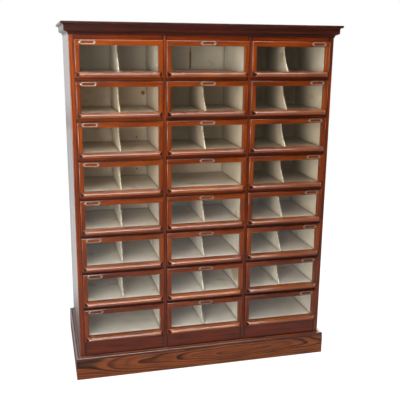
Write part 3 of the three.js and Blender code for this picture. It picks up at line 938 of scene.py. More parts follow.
def drawer_place(column, row):
    """Where a drawer stands: its column and row, centre, half width, foot, height and back."""
    low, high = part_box(f"drawer_{column}_{row}")
    return {
        "name": f"drawer_{column}_{row}",
        "tag": f"{column}_{row}",
        "x": (low.x + high.x) / 2,
        "half": (high.x - low.x) / 2,
        "foot": low.z,
        "height": high.z - low.z,
        "back": high.y,
        "open": (column, row) in OPEN_BAYS,
        "column": column,
        "row": row,
    }


def each_drawer():
    """Every drawer's place, column by column."""
    return [drawer_place(column, row) for column in range(1, COLUMNS + 1) for row in range(1, ROWS + 1)]


def tray_box(place, sizes):
    """Half the width of a tray, and the heights of its foot and its head."""
    outer = place["half"] - sizes.lip - sizes.side_gap
    box_foot = place["foot"] + sizes.lip + sizes.run_gap
    box_head = place["foot"] + place["height"] - sizes.lip - sizes.head_gap
    return outer, box_foot, box_head


def build_front(place, sizes, material):
    """The framed front of one drawer: its rails and stiles, and the tongue and beads behind them."""
    joinery = Joinery(f"front_{place['tag']}")
    # Painted light and shade on this front, by its row and column
    joinery.tone = front_painted_light(place)
    x, half, foot = place["x"], place["half"], place["foot"]
    head = foot + place["height"]
    plane, lip = FACE_LOW.y - sizes.proud, FACE_LOW.y - sizes.lip_gap
    rail_foot, sight_foot = head - sizes.top_rail, foot + sizes.bottom_rail
    big, small = sizes.round_over, sizes.sight_round
    apart = dict.fromkeys(("-x", "+x", "-z", "+z"), NO_SEAM)
    # Under the top row, the seam's painted shade line runs along the head of each front, in the pull's shadow
    joinery.board(
        (x - half, plane, rail_foot), (x + half, lip, head), "x", ARRIS["front"],
        {"-y+z": big, "-x-y": big, "+x-y": big, "-y-z": small},
        beyond={**apart, "+z": NO_SEAM if place["row"] == 1 else 0.0},
    )
    for sign in (-1, 1):
        left, right = sorted((x + sign * (half - sizes.stile), x + sign * half))
        sides = {"-x-y": big, "+x-y": small} if sign < 0 else {"-x-y": small, "+x-y": big}
        joinery.board(
            (left, plane, sight_foot), (right, lip, rail_foot), "z", ARRIS["front"], sides, beyond=apart
        )
    joinery.board(
        (x - half, plane + sizes.round_over, foot), (x + half, lip, sight_foot), "x", ARRIS["foot rail"],
        beyond=apart,
    )
    build_beads(joinery, place, sizes, lip)
    return joinery.build(place["name"], "drawer_wood", material, stands_for=(place["name"],))


def build_beads(joinery, place, sizes, lip):
    """Members behind the lip: the tongue that enters the case and the beads that hold the glass."""
    x, foot = place["x"], place["foot"]
    inner = place["half"] - sizes.stile
    outer, box_foot, box_head = tray_box(place, sizes)
    low, high = foot + sizes.bottom_rail, foot + place["height"] - sizes.top_rail
    near, far = lip, FACE_LOW.y + sizes.tongue
    bead = FACE_LOW.y - sizes.proud + sizes.glass_setback + sizes.glass + sizes.run_gap
    cover = sizes.glass_cover
    wide = inner + cover
    joinery.board((x - outer, near, high + cover), (x + outer, far, box_head), "x", ARRIS["tongue"])
    joinery.board((x - outer, near, box_foot), (x + outer, far, low - cover), "x", ARRIS["tongue"])
    joinery.board((x - inner - cover, bead, high), (x + wide, far, high + cover), "x", ARRIS["bead"])
    joinery.board((x - inner - cover, bead, low - cover), (x + wide, far, low), "x", ARRIS["bead"])
    for sign in (-1, 1):
        left, right = sorted((x + sign * wide, x + sign * outer))
        joinery.board((left, near, low - cover), (right, far, high + cover), "z", ARRIS["tongue"])
        left, right = sorted((x + sign * inner, x + sign * wide))
        joinery.board((left, bead, low), (right, far, high), "z", ARRIS["bead"])


# Painted light and shade on the fronts of each row, from the top row down, and on the last column beside the
# others
ROW_PAINTED_LIGHT = (1.08, 1.0, 1.0, 1.02, 0.92, 0.92, 0.86, 0.82)
LAST_COLUMN_PAINTED_SHADE = 0.87

# Painted light on the pulls beside their fronts, from the top row down
PULL_PAINTED_LIGHT = (0.9, 0.98, 0.95, 1.0, 1.1, 1.18, 1.25, 1.3)


def front_painted_light(place):
    """How much painted light and shade a front's polish gets."""
    last = LAST_COLUMN_PAINTED_SHADE if place["column"] == COLUMNS else 1.0
    return listed(ROW_PAINTED_LIGHT, place["row"]) * last


# Marks of a pull's profile, as shares of its projection and of its height from the head down
PULL_SHARES = {
    "crown_bend": (0.42, 0.08), "crown": (0.82, 0.23), "brow_bend": (0.985, 0.31), "brow": (1.0, 0.43),
    "nose_bend": (1.0, 0.5), "nose": (0.94, 0.61), "heel_bend": (0.78, 0.83), "heel": (0.42, 1.0),
}

# Points of the profile round the brow, rubbed by hands and lightened as a painted highlight
PULL_RUBBED_HIGHLIGHT = range(4, 12)

# How far the sawn ends run back for each part that they stand out, and the sections along a pull
PULL_CUT_SLOPE = 0.6
PULL_STEPS = 10

# Length of the worn tip at each end of a pull, and how much of the pull's depth is left there
PULL_TIP = 0.0055
PULL_TIP_DEPTH = 0.91


def pull_profile(sizes):
    """Profile of the finger pull as (out, up): a sloping crown, a round nose and a groove."""
    head = sizes.bottom_rail
    marks = {
        key: (sizes.pull_out * out, head - sizes.pull_height * down)
        for key, (out, down) in PULL_SHARES.items()
    }
    heel = marks["heel"]
    roof = heel[1] + sizes.pull_hollow
    return (
        curve_points((0.0, head), marks["crown_bend"], marks["crown"], 5)
        + curve_points(marks["crown"], marks["brow_bend"], marks["brow"], 7)[1:]
        + curve_points(marks["brow"], marks["nose_bend"], marks["nose"], 3)[1:]
        + curve_points(marks["nose"], marks["heel_bend"], heel, 7)[1:]
        + curve_points(heel, (heel[0], roof), (0.0, roof), 4)[1:]
    )


def along(first, second, share):
    """The place that lies a share of the way from one place to another."""
    return lambda out, up: tuple(a + (b - a) * share for a, b in zip(first(out, up), second(out, up)))


def build_pull(place, sizes, materials):
    """The finger pull of one drawer, its ends cut back aslant."""
    joinery = Joinery(f"pull_{place['tag']}")
    # The front's painted light and shade, and more painted light on the lower pulls
    joinery.tone = front_painted_light(place) * listed(PULL_PAINTED_LIGHT, place["row"])
    plane, foot = FACE_LOW.y - sizes.proud + sizes.round_over, place["foot"]
    end = place["half"] - sizes.pull_inset

    def station(sign, depth):
        """One end of the pull, with its profile shrunk to a share of its depth."""
        return lambda out, up: (
            place["x"] + sign * (end - out * depth * PULL_CUT_SLOPE), plane - out * depth, foot + up
        )

    stretch = (sizes.pull_out + sizes.round_over) / sizes.pull_out
    profile = [(out * stretch, up) for out, up in pull_profile(sizes)]
    tip = PULL_TIP / (2.0 * end)
    places = []
    for share in (0.0, tip, *(index / PULL_STEPS for index in range(1, PULL_STEPS)), 1.0 - tip, 1.0):
        depth = PULL_TIP_DEPTH if share in (0.0, 1.0) else 1.0
        places.append(along(station(-1, depth), station(1, depth), share))
    joinery.moulded(
        profile, places, "x", sizes.pull_cut, lambda face: 1 if len(face.verts) > 4 else 0, PULL_RUBBED_HIGHLIGHT
    )
    return joinery.build(place["name"], "drawer_wood", *materials)


# How far the paint of each row has yellowed, with painted warm bounce light in it, from the top row down, and
# how much more in the last column
ROW_AGES_AND_WARM_LIGHT = (0.45, 1.0, 0.95, 0.75, 0.6, 0.3, 0.15, 0.1)
LAST_COLUMN_AGE_AND_WARM_LIGHT = 0.25

# How dark the painted shade on the backs of the trays is, by row from the top, in each column
ROW_SHADE = (
    (0.28, 0.08, 0.08, 0.08, 0.08, 0.08, 0.08, 0.08),
    (0.08, 0.55, 0.47, 0.08, 0.25, 0.08, 0.08, 0.08),
    (0.965, 0.93, 0.9, 0.9, 0.42, 0.25, 0.18, 0.26),
)

# Marks on the back walls, as (place across, height over the floor) and half sizes, by drawer
BACK_MARKS = {
    (1, 2): (0.154, 0.063, 0.013, 0.011),
    (2, 1): (0.000, 0.050, 0.0070, 0.075),
    (1, 1): (0.040, 0.012, 0.008, 0.006),
    (1, 3): (0.120, 0.020, 0.006, 0.006),
    (1, 4): (0.118, 0.034, 0.005, 0.007),
}

# A pale stain on a right wall, as depth from the front, height over the floor and half sizes
WALL_STAINS = {(2, 7): (0.075, 0.065, 0.075, 0.055)}

# What a mark gives as its middle number, for the paint to colour it: rust, or a pale stain
RUST_MARK = 0.0
PALE_MARK = 0.6


def paint_age(place):
    """How far the paint of a tray has yellowed, partly as painted warm bounce light."""
    more = LAST_COLUMN_AGE_AND_WARM_LIGHT if place["column"] == COLUMNS else 0.0
    return min(1.0, listed(ROW_AGES_AND_WARM_LIGHT, place["row"]) + more)


def back_shade(place):
    """How dark the painted shade at the back of a tray is."""
    return listed(listed(ROW_SHADE, place["column"]), place["row"])


def back_mark(place, floor_head, wall):
    """A function that measures from the mark on a tray's back wall, or nothing."""
    if (place["column"], place["row"]) not in BACK_MARKS:
        return None
    across, up, wide, high = BACK_MARKS[place["column"], place["row"]]
    centre = Vector((place["x"] + across, wall, floor_head + up))
    return lambda co: ((co.x - centre.x) / wide, RUST_MARK, (co.z - centre.z) / high)


def wall_stain(place, floor_head, front):
    """A function that measures from the stain on a tray's right wall, or nothing."""
    if (place["column"], place["row"]) not in WALL_STAINS:
        return None
    deep, up, wide, high = WALL_STAINS[place["column"], place["row"]]
    return lambda co: ((co.y - front - deep) / wide, PALE_MARK, (co.z - floor_head - up) / high)


def build_tray(place, sizes, materials):
    """Two sides, a back and a floor, painted inside and raw outside."""
    joinery = Joinery(f"tray_{place['tag']}")
    # The age yellows the paint, partly as painted warm light, and the tone is painted shade at the back
    joinery.age = paint_age(place)
    joinery.tone = 1.0 - back_shade(place)
    x = place["x"]
    outer, box_foot, box_head = tray_box(place, sizes)
    inner = outer - sizes.side
    front, back = FACE_LOW.y + sizes.tongue, place["back"]
    wall = back - sizes.side
    floor_foot = box_foot + sizes.floor_rise
    floor_head = floor_foot + sizes.floor
    for sign in (-1, 1):
        left, right = sorted((x + sign * inner, x + sign * outer))
        joinery.mark = wall_stain(place, floor_head, front) if sign > 0 else None
        joinery.board(
            (left, front, box_foot), (right, wall, box_head), "y", ARRIS["tray"],
            bay=lambda co: (FAR, wall - co.y, co.z - floor_head),
            material=lambda face, sign=sign: 1 if face.normal.x * sign < -0.5 or face.normal.z > 0.5 else 0,
        )
    joinery.mark = back_mark(place, floor_head, wall)
    joinery.board(
        (x - outer, wall, box_foot), (x + outer, back, box_head), "x", ARRIS["tray"],
        bay=lambda co: (co.x - x, FAR, co.z - floor_head),
        material=lambda face: 1 if face.normal.y < -0.5 or face.normal.z > 0.5 else 0,
    )
    joinery.mark = None
    joinery.board(
        (x - inner, front, floor_foot), (x + inner, wall, floor_head), "x", ARRIS["tray floor"],
        bay=lambda co: (co.x - x, wall - co.y, FAR),
        material=lambda face: 2 if face.normal.z > 0.5 else 0,
    )
    return joinery.build(place["name"], "drawer_paint", *materials)


# Points down the front edge of a divider, how unevenly it was cut, and how soon it runs back
DIVIDER_STEPS = 18
DIVIDER_SWAY = 0.0022
DIVIDER_RAKE = 1.8


def build_divider(place, sizes, material):
    """The upright divider of one drawer, with a raked front edge that was cut by hand."""
    joinery = Joinery(f"divider_{place['tag']}")
    # The tone is painted shade at the back, and the age yellows the paint, partly as painted warm light
    joinery.tone = 1.0 - back_shade(place)
    joinery.age = paint_age(place)
    x, half = place["x"], sizes.divider / 2
    _, box_foot, box_head = tray_box(place, sizes)
    low, high = box_foot + sizes.floor_rise + sizes.floor, box_head - sizes.divider_gap
    back = place["back"] - sizes.side
    wobble = place["column"] * 7.3 + place["row"] * 3.1
    outline = [(back, low)]
    for index in range(DIVIDER_STEPS + 1):
        t = index / DIVIDER_STEPS
        slow = noise.noise(Vector((t * 3.0, wobble, 0.0)))
        quick = noise.noise(Vector((t * 14.0, 0.0, wobble)))
        sway = DIVIDER_SWAY * slow + DIVIDER_SWAY / 2 * quick
        reach = 1 - (1 - t) ** DIVIDER_RAKE
        setback = sizes.divider_foot + (sizes.divider_head - sizes.divider_foot) * reach + sway
        outline.append((FACE_LOW.y + setback, low + (high - low) * t))
    outline.append((back, high))
    bm = bmesh.new()
    rings = [[bm.verts.new((x + side, y, z)) for y, z in outline] for side in (-half, half)]
    join_rings(bm, *rings)
    bm.faces.new(rings[0])
    bm.faces.new(list(reversed(rings[1])))
    bmesh.ops.recalc_face_normals(bm, faces=bm.faces)
    rims = [edge for edge in bm.edges if any(len(face.verts) > 4 for face in edge.link_faces)]
    round_edges(bm, rims, ARRIS["divider"])
    bmesh.ops.triangulate(bm, faces=[face for face in bm.faces if len(face.verts) > 4])
    bm.normal_update()
    flat = {face for face in bm.faces if abs(face.normal.x) > 0.999}
    centre = Vector((x, (back + FACE_LOW.y) / 2, (low + high) / 2))
    half_size = Vector((half, (back - FACE_LOW.y) / 2, (high - low) / 2))
    joinery.gather(bm, "y", centre, half_size, lambda co: (FAR, back - co.y, co.z - low), 0, flat)
    return joinery.build(place["name"], "drawer_paint", material)


# Section of a holder's band: share of the way from its outer edge to the window, and of its thickness
HOLDER_SECTION = ((0.0, 0.0), (0.05, 0.7), (0.2, 1.0), (0.5, 0.95), (0.8, 0.6), (1.0, 0.45), (1.0, 0.0))

# Where a pin sits, as shares of the length of metal at an end and of its thickness, and its flatness
PIN_INSET = 0.6
PIN_RISE = 0.75
PIN_DOME = 0.55


def build_holder(place, sizes, holder, material):
    """The label holder of one drawer: a pointed frame round a window, with a domed pin at each end."""
    offset = place["half"] - holder.inset - holder.length / 2
    side = {1: -1, COLUMNS: 1}.get(place["column"], 0)
    centre = place["x"] + side * offset
    middle = place["foot"] + place["height"] - sizes.top_rail / 2
    plane = FACE_LOW.y - sizes.proud
    plate = pointed(holder.length / 2, holder.height / 2, holder.point)
    view = pointed(holder.length / 2 - holder.end, holder.height / 2 - holder.band, holder.notch)
    bm = bmesh.new()
    rings = []
    for share, rise in HOLDER_SECTION:
        ring = [[a + (b - a) * share for a, b in zip(outer, inner)] for outer, inner in zip(plate, view)]
        rings.append([bm.verts.new((centre + x, plane - rise * holder.thick, middle + z)) for x, z in ring])
    for near, far in zip(rings, rings[1:] + rings[:1]):
        join_rings(bm, near, far)
    round_edges(bm, [edge for edge in bm.edges if edge.calc_face_angle() > 0.5], ARRIS["holder"])
    for sign in (-1, 1):
        across = centre + sign * (holder.length / 2 - holder.end * PIN_INSET)
        made = bmesh.ops.create_uvsphere(bm, u_segments=14, v_segments=8, radius=holder.pin)
        bmesh.ops.scale(bm, vec=(1.0, PIN_DOME, 1.0), space=Matrix.Identity(4), verts=made["verts"])
        spot = Vector((across, plane - holder.thick * PIN_RISE, middle))
        bmesh.ops.translate(bm, vec=spot, verts=made["verts"])
    bmesh.ops.recalc_face_normals(bm, faces=bm.faces)
    mesh = bpy.data.meshes.new(f"label_holder_{place['tag']}")
    bm.to_mesh(mesh)
    bm.free()
    mesh.set_sharp_from_angle(angle=0.6)
    mesh.materials.append(material)
    return place_piece(new_object(mesh.name, mesh), place["name"])


def pointed(long, high, point):
    """A six-sided outline with a point at both ends, as (x, z)."""
    return [
        (-long, 0.0), (-long + point, -high), (long - point, -high),
        (long, 0.0), (long - point, high), (-long + point, high),
    ]


# Case

# Height of the foot of the lowest rail, as a share of the plinth's height
FLAT_SHARE = 0.68

# Painted light and shade on the stiles at the foot and at the head, from the left
STILE_PAINTED_LIGHT = ((0.9, 1.8), (0.75, 1.75), (0.75, 0.95), (0.8, 1.05))

# Painted light and shade on the rails in each column, from the lowest rail up
RAIL_PAINTED_LIGHT = (
    (0.8, 0.8, 0.8), (1.2, 1.2, 1.3), (1.1, 1.0, 1.3), (1.0, 1.05, 0.9), (1.05, 1.15, 0.95),
    (1.9, 1.0, 0.75), (2.0, 1.0, 1.2), (1.6, 1.3, 1.0), (1.0, 1.0, 1.0),
)

# How far the outline of the rails passes their ends, and stops short of the head of the lowest one and of
# the feet of those over it, up to a level, so that the painted shade line shows under the pulls and over the
# fronts
RAIL_REACH = 0.004
LOWEST_SHORT = 0.007
FOOT_SHORT = 0.004
FOOT_LEVELS = 4


def build_face_frame(sizes, case, material):
    """Four full-height stiles, with the rails let in between them."""
    near, far = FACE_LOW.y, FACE_HIGH.y
    edges = []
    for column in range(1, COLUMNS + 1):
        place = drawer_place(column, 1)
        edges.append((place["x"] - place["half"] + sizes.lip, place["x"] + place["half"] - sizes.lip))
    lefts = [FACE_LOW.x] + [right for _, right in edges]
    rights = [left for left, _ in edges] + [FACE_HIGH.x]
    last = len(lefts) - 1
    lowest = drawer_place(1, ROWS)["foot"] + sizes.lip
    pitch = row_pitch()
    bottom = FLAT_SHARE * PLINTH_HIGH.z
    for index, (left, right) in enumerate(zip(lefts, rights)):
        outer = index in (0, last)
        joinery = Joinery(f"stile_{index + 1}")
        # Painted light and shade up the stile, from foot to head
        low_tone, high_tone = listed(STILE_PAINTED_LIGHT, index + 1)
        joinery.tone = lambda co, a=low_tone, b=high_tone: a + (b - a) * co.z / FACE_HIGH.z
        rounds = {("-x-y" if index == 0 else "+x-y"): case.corner} if outer else None
        open_side = {0: {"-x": NO_SEAM}, last: {"+x": NO_SEAM}}.get(index)
        joinery.board(
            (left, near, 0.0 if outer else bottom), (right, far, FACE_HIGH.z), "z", case.arris, rounds,
            beyond=open_side,
        )
        joinery.build("case", "case_wood", material, stands_for=("face_frame",) if index == 0 else ())
    for level in range(ROWS + 1):
        top = lowest + level * pitch
        joinery = Joinery(f"rail_{ROWS - level + 1}")
        shown = {"-x": RAIL_REACH, "+x": RAIL_REACH}
        if level == 0:
            shown.update({"-z": bottom - PLINTH_HIGH.z, "+z": -LOWEST_SHORT})
        elif level < FOOT_LEVELS:
            shown["-z"] = -FOOT_SHORT
        for column, (left, right) in enumerate(edges):
            # Painted light and shade on each rail
            joinery.tone = listed(listed(RAIL_PAINTED_LIGHT, level + 1), column + 1)
            low = bottom if level == 0 else top - rail_height(sizes)
            high = FACE_HIGH.z if level == ROWS else top
            joinery.board((left, near, low), (right, far, high), "x", case.arris, beyond=shown)
        joinery.build("case", "case_wood", material)


def row_pitch():
    """Height from one row of drawers to the next."""
    return drawer_place(1, 1)["foot"] - drawer_place(1, 2)["foot"]


def rail_height(sizes):
    """Full height of a rail between two rows, with the part that the fronts cover."""
    return row_pitch() - (drawer_place(1, 1)["height"] - 2 * sizes.lip)


def build_sides(case, material, raw):
    """Each side is glued up from upright boards, with its runners inside."""
    for name, sign in (("left_side", -1), ("right_side", 1)):
        low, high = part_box(name)
        outer, tip = (low.x, high.x) if sign < 0 else (high.x, low.x)
        inner = outer - sign * case.board
        joinery = Joinery(name + "_boards")
        width = (high.y - low.y) / case.boards_in_side
        for index in range(case.boards_in_side):
            start, end = low.y + index * width, low.y + (index + 1) * width
            joinery.board(
                (min(outer, inner), start, 0.0), (max(outer, inner), end, high.z), "z", ARRIS["side"],
                material=lambda face, sign=sign: int(
                    face.normal.x * sign <= 0.2 and abs(face.normal.y) <= 0.9
                ),
            )
        add_runners(joinery, sorted((inner, tip)), low.y, high.y, 1)
        joinery.build("case", "case_wood", material, raw, stands_for=(name,))


def add_runners(joinery, reach, front, back, material):
    """A runner or kicker at every level of one face of an upright board."""
    sizes = settings(bpy.context).drawer
    lowest, rail = drawer_place(1, ROWS)["foot"] + sizes.lip, rail_height(sizes)
    for level in range(ROWS + 1):
        top = lowest + level * row_pitch()
        joinery.board(
            (reach[0], front, top - rail), (reach[1], back, top), "y", ARRIS["runner"], material=material
        )


def build_partitions(case, raw):
    """The boards between the columns, with runners on both faces."""
    for name in ("left_partition", "right_partition"):
        low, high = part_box(name)
        middle = (low.x + high.x) / 2
        half = case.board / 2
        joinery = Joinery(name + "_boards")
        joinery.board(
            (middle - half, low.y, low.z), (middle + half, high.y, high.z), "z", ARRIS["partition"]
        )
        for sign in (-1, 1):
            tip = low.x if sign < 0 else high.x
            add_runners(joinery, sorted((middle + sign * half, tip)), low.y, high.y, 0)
        joinery.build("case", "inner_wood", raw, stands_for=(name,))


# Boards in the top, the rounding of its rim, and the groove between the boards of the back
TOP_BOARDS = 3
TOP_ROUND = 0.003
BACK_GROOVE = 0.0025


def build_flat_boards(case, polish, raw):
    """The top board, the bottom board and the boarded back."""
    top = Joinery("top_boards")
    depth = (TOP_HIGH.y - TOP_LOW.y) / TOP_BOARDS
    for index in range(TOP_BOARDS):
        start = TOP_LOW.y + index * depth
        rims = ("-x+z", "+x+z") if index else ("-y+z", "-x+z", "+x+z")
        top.board(
            (TOP_LOW.x, start, TOP_LOW.z), (TOP_HIGH.x, start + depth, TOP_HIGH.z), "x", ARRIS["top"],
            dict.fromkeys(rims, TOP_ROUND),
        )
    top.build("case", "cornice_wood", polish, stands_for=("top_board",))
    floor = Joinery("bottom_boards")
    floor.board(FLOOR_LOW, FLOOR_HIGH, "x", ARRIS["bottom"])
    floor.build("case", "inner_wood", raw, stands_for=("bottom_board",))
    back = Joinery("back_boards")
    width = (BACK_HIGH.x - BACK_LOW.x) / case.boards_across
    for index in range(case.boards_across):
        left = BACK_LOW.x + index * width
        back.board(
            (left, BACK_LOW.y, BACK_LOW.z), (left + width, BACK_HIGH.y, BACK_HIGH.z), "z", ARRIS["back"],
            dict.fromkeys(("-x+y", "+x+y"), BACK_GROOVE),
        )
    back.build("case", "inner_wood", raw, stands_for=("back_panel",))


# The cornice: how far its shelf, band, bead and toe stand out, as shares of its reach, and where the cove
# over the band, the band and the round under it end, as shares of its height from the head down
CORNICE_OUT = (0.9, 0.61, 0.42, 0.06)
CORNICE_DOWN = (0.25, 0.52, 0.72)
CORNICE_STEP = 0.002
CORNICE_RIM = 0.001
CORNICE_LENGTHS = 8


def cornice_profile():
    """Cornice as (out, up): a cove, a flat band, a round and a smaller cove down to the face."""
    full = TOP_HIGH.x - FACE_HIGH.x
    foot, head = CORNICE_LOW.z, CORNICE_HIGH.z
    high = head - foot
    shelf, band, bead, toe = (full * share for share in CORNICE_OUT)
    band_head, band_foot, bead_foot = (head - high * share for share in CORNICE_DOWN)
    step = (bead, bead_foot + CORNICE_STEP)
    return (
        [(0.0, foot), (toe, foot)]
        + curve_points((toe, foot), (toe, bead_foot), (bead, bead_foot), 8)[1:]
        + [step]
        + curve_points(step, (band, step[1]), (band, band_foot), 6)[1:]
        + curve_points((band, band_head), (band, head), (shelf, head - CORNICE_RIM), 8)
        + [(shelf, head), (0.0, head)]
    )


# The plinth: wear at its foot and at the head of its flat face, depth and rise of the quirk over it, height
# of the bead over the quirk, radius of the bead as a share of what is left, and the turns that draw it
FOOT_WEAR = 0.0015
HEAD_WEAR = 0.0008
QUIRK_DEPTH = 0.0048
QUIRK_RISE = 0.0004
BEAD_RISE = 0.0012
BEAD_SHARE = 0.41
BEAD_STEPS = 10
BEAD_START = -70
BEAD_TURN = 17

# The cove over the bead: its bend and its end, as shares of the plinth's reach, and the drop of its bend
COVE_BEND = 0.3
COVE_END = 0.12
COVE_DROP = 0.004

# Lengths along a plinth board, and how far the middle of the log lies from it
PLINTH_LENGTHS = 12
PLINTH_HEART = (0.02, -0.01)


def plinth_profile(case):
    """Plinth as (out, up): a flat face, a quirk, a half-round bead and a small cove to the case."""
    full, head = FACE_LOW.y - PLINTH_LOW.y, PLINTH_HIGH.z
    flat = case.plinth_flat
    radius = (head - flat) * BEAD_SHARE
    middle = (full - radius, flat + BEAD_RISE + radius)
    turns = [math.radians(BEAD_START + BEAD_TURN * step) for step in range(BEAD_STEPS + 1)]
    bead = [(middle[0] + radius * math.cos(turn), middle[1] + radius * math.sin(turn)) for turn in turns]
    return (
        [(0.0, 0.0), (full - FOOT_WEAR, 0.0), (full, FOOT_WEAR), (full, flat - HEAD_WEAR)]
        + [(full - HEAD_WEAR, flat), (full - QUIRK_DEPTH, flat + QUIRK_RISE)]
        + bead
        + curve_points(bead[-1], (full * COVE_BEND, head - COVE_DROP), (full * COVE_END, head), 5)[1:]
        + [(0.0, head)]
    )


def corner_places(back):
    """Places that carry a moulding from the back of the left side, round the front, to the back again."""
    return [
        lambda out, up: (FACE_LOW.x - out, back, up),
        lambda out, up: (FACE_LOW.x - out, FACE_LOW.y - out, up),
        lambda out, up: (FACE_HIGH.x + out, FACE_LOW.y - out, up),
        lambda out, up: (FACE_HIGH.x + out, back, up),
    ]


def between(first, second, steps):
    """Places spread evenly from one place to another, so that a long moulding has even faces."""
    return [along(first, second, index / steps) for index in range(steps + 1)]


def build_mouldings(case, cornice, plinth):
    """The cornice and the plinth, each in three mitred lengths."""
    places = corner_places(CORNICE_HIGH.y)
    for index, (name, grain) in enumerate((("left", "y"), ("front", "x"), ("right", "y"))):
        start, end = places[index:index + 2]
        joinery = Joinery(f"cornice_{name}")
        joinery.moulded(cornice_profile(), between(start, end, CORNICE_LENGTHS), grain)
        joinery.build("case", "cornice_wood", cornice, stands_for=("cornice",) if name == "front" else ())
        joinery = Joinery(f"plinth_{name}_board")
        joinery.heart = PLINTH_HEART if grain == "x" else PLINTH_HEART[::-1]
        # The quirk and the bead are darkened as painted shade
        shaded_quirk_and_bead = range(5, 7 + BEAD_STEPS)
        joinery.moulded(
            plinth_profile(case), between(start, end, PLINTH_LENGTHS), grain, worn=shaded_quirk_and_bead
        )
        joinery.build("case", "plinth_wood", plinth, stands_for=(f"plinth_{name}",))


# Operators


class CABINET_OT_fronts(bpy.types.Operator):
    """Build the framed fronts and the finger pulls of all drawers"""

    bl_idname = "cabinet.fronts"
    bl_label = "Drawer fronts"

    def execute(self, context):
        sizes = settings(context).drawer
        made = finishes(context)
        for place in each_drawer():
            build_front(place, sizes, made["front"])
            build_pull(place, sizes, (made["pull"], made["end"]))
        return {"FINISHED"}


class CABINET_OT_trays(bpy.types.Operator):
    """Build the painted trays and their dividers"""

    bl_idname = "cabinet.trays"
    bl_label = "Drawer trays"

    def execute(self, context):
        sizes = settings(context).drawer
        made = finishes(context)
        for place in each_drawer():
            suffix = "_open" if place["open"] else ""
            build_tray(place, sizes, (made["raw"], made["paint" + suffix], made["floor" + suffix]))
            if not place["open"]:
                build_divider(place, sizes, made["paint"])
        return {"FINISHED"}


class CABINET_OT_panes(bpy.types.Operator):
    """Give the glass panes their finish"""

    bl_idname = "cabinet.panes"
    bl_label = "Glass panes"

    def execute(self, context):
        glass = finishes(context)["glass"]
        for place in each_drawer():
            pane = frame["nodes"][f"glass_{place['tag']}"]
            pane.data.materials.clear()
            pane.data.materials.append(glass)
        return {"FINISHED"}


class CABINET_OT_label_holders(bpy.types.Operator):
    """Build the label holders"""

    bl_idname = "cabinet.label_holders"
    bl_label = "Label holders"

    def execute(self, context):
        chosen = settings(context)
        material = finishes(context)["metal"]
        for place in each_drawer():
            build_holder(place, chosen.drawer, chosen.holder, material)
        return {"FINISHED"}


class CABINET_OT_case(bpy.types.Operator):
    """Build the face frame, sides, partitions, top, bottom and back"""

    bl_idname = "cabinet.case"
    bl_label = "Case"

    def execute(self, context):
        chosen = settings(context)
        made = finishes(context)
        build_face_frame(chosen.drawer, chosen.case, made["case"])
        build_sides(chosen.case, made["case"], made["raw"])
        build_partitions(chosen.case, made["raw"])
        build_flat_boards(chosen.case, made["cornice"], made["raw"])
        return {"FINISHED"}


class CABINET_OT_mouldings(bpy.types.Operator):
    """Build the cornice and the plinth"""

    bl_idname = "cabinet.mouldings"
    bl_label = "Cornice and plinth"

    def execute(self, context):
        made = finishes(context)
        build_mouldings(settings(context).case, made["cornice"], made["plinth"])
        return {"FINISHED"}


class CABINET_OT_stage(bpy.types.Operator):
    """Set up the floor, the lights, the white surroundings and the camera"""

    bl_idname = "cabinet.stage"
    bl_label = "Stage"

    def execute(self, context):
        chosen = settings(context).stage
        make_floor()
        make_lights(chosen)
        make_world(chosen)
        make_camera(chosen)
        context.scene.view_settings.view_transform = "Standard"
        return {"FINISHED"}


def seen_directly(tree, path):
    """One for the camera's view, also through glass, and nought for light that a surface scattered."""
    seen = maths(tree, "MAXIMUM", path["Is Camera Ray"], path["Is Transmission Ray"])
    scattered = maths(tree, "MINIMUM", path["Diffuse Depth"], 1.0)
    return maths(tree, "MULTIPLY", seen, maths(tree, "SUBTRACT", 1.0, scattered))


WHITE = (1.0, 1.0, 1.0)

# The room as the inner faces of the panes mirror it, level with the upper drawers
PANE_ROOM = (0.78, 0.6, 0.38)

# The floor: half its width, and its grey beside the grey that the camera and gloss see
FLOOR_REACH = 9.0
FLOOR_GREY = (0.86, 0.86, 0.86)
FLOOR_SEEN_GREY = (0.2, 0.2, 0.2)

# The lamps, each by the setting of its power: size, place, target and colour
LAMPS = {
    "window": ((1.35, 1.1), (-1.95, -2.83, 1.32), (0.0, -0.27, 1.1), (1.0, 0.98, 0.94)),
    "overhead": ((2.4, 0.6), (0.25, -1.45, 3.38), (0.2, -0.27, 0.9), (0.97, 0.98, 1.0)),
    "high": ((1.8, 0.5), (-0.3, -3.3, 3.3), (0.0, -0.27, 0.5), WHITE),
    "side": ((0.5, 1.6), (-3.2, -0.6, 1.35), (-0.6, -0.29, 1.1), (0.90, 0.93, 1.0)),
    "back": ((1.8, 1.6), (1.5, 3.3, 1.9), (0.1, 0.34, 0.8), (1.0, 0.98, 0.95)),
    "right": ((1.2, 1.6), (3.5, 0.5, 1.7), (0.63, 0.1, 0.8), (1.0, 0.98, 0.95)),
}


def mirrored_in_glass(tree, path):
    """One for what a pane's inner face mirrors, which leaves the pane as transmitted light."""
    mirrored = maths(tree, "MINIMUM", path["Glossy Depth"], 1.0)
    return maths(tree, "MULTIPLY", path["Is Transmission Ray"], mirrored)


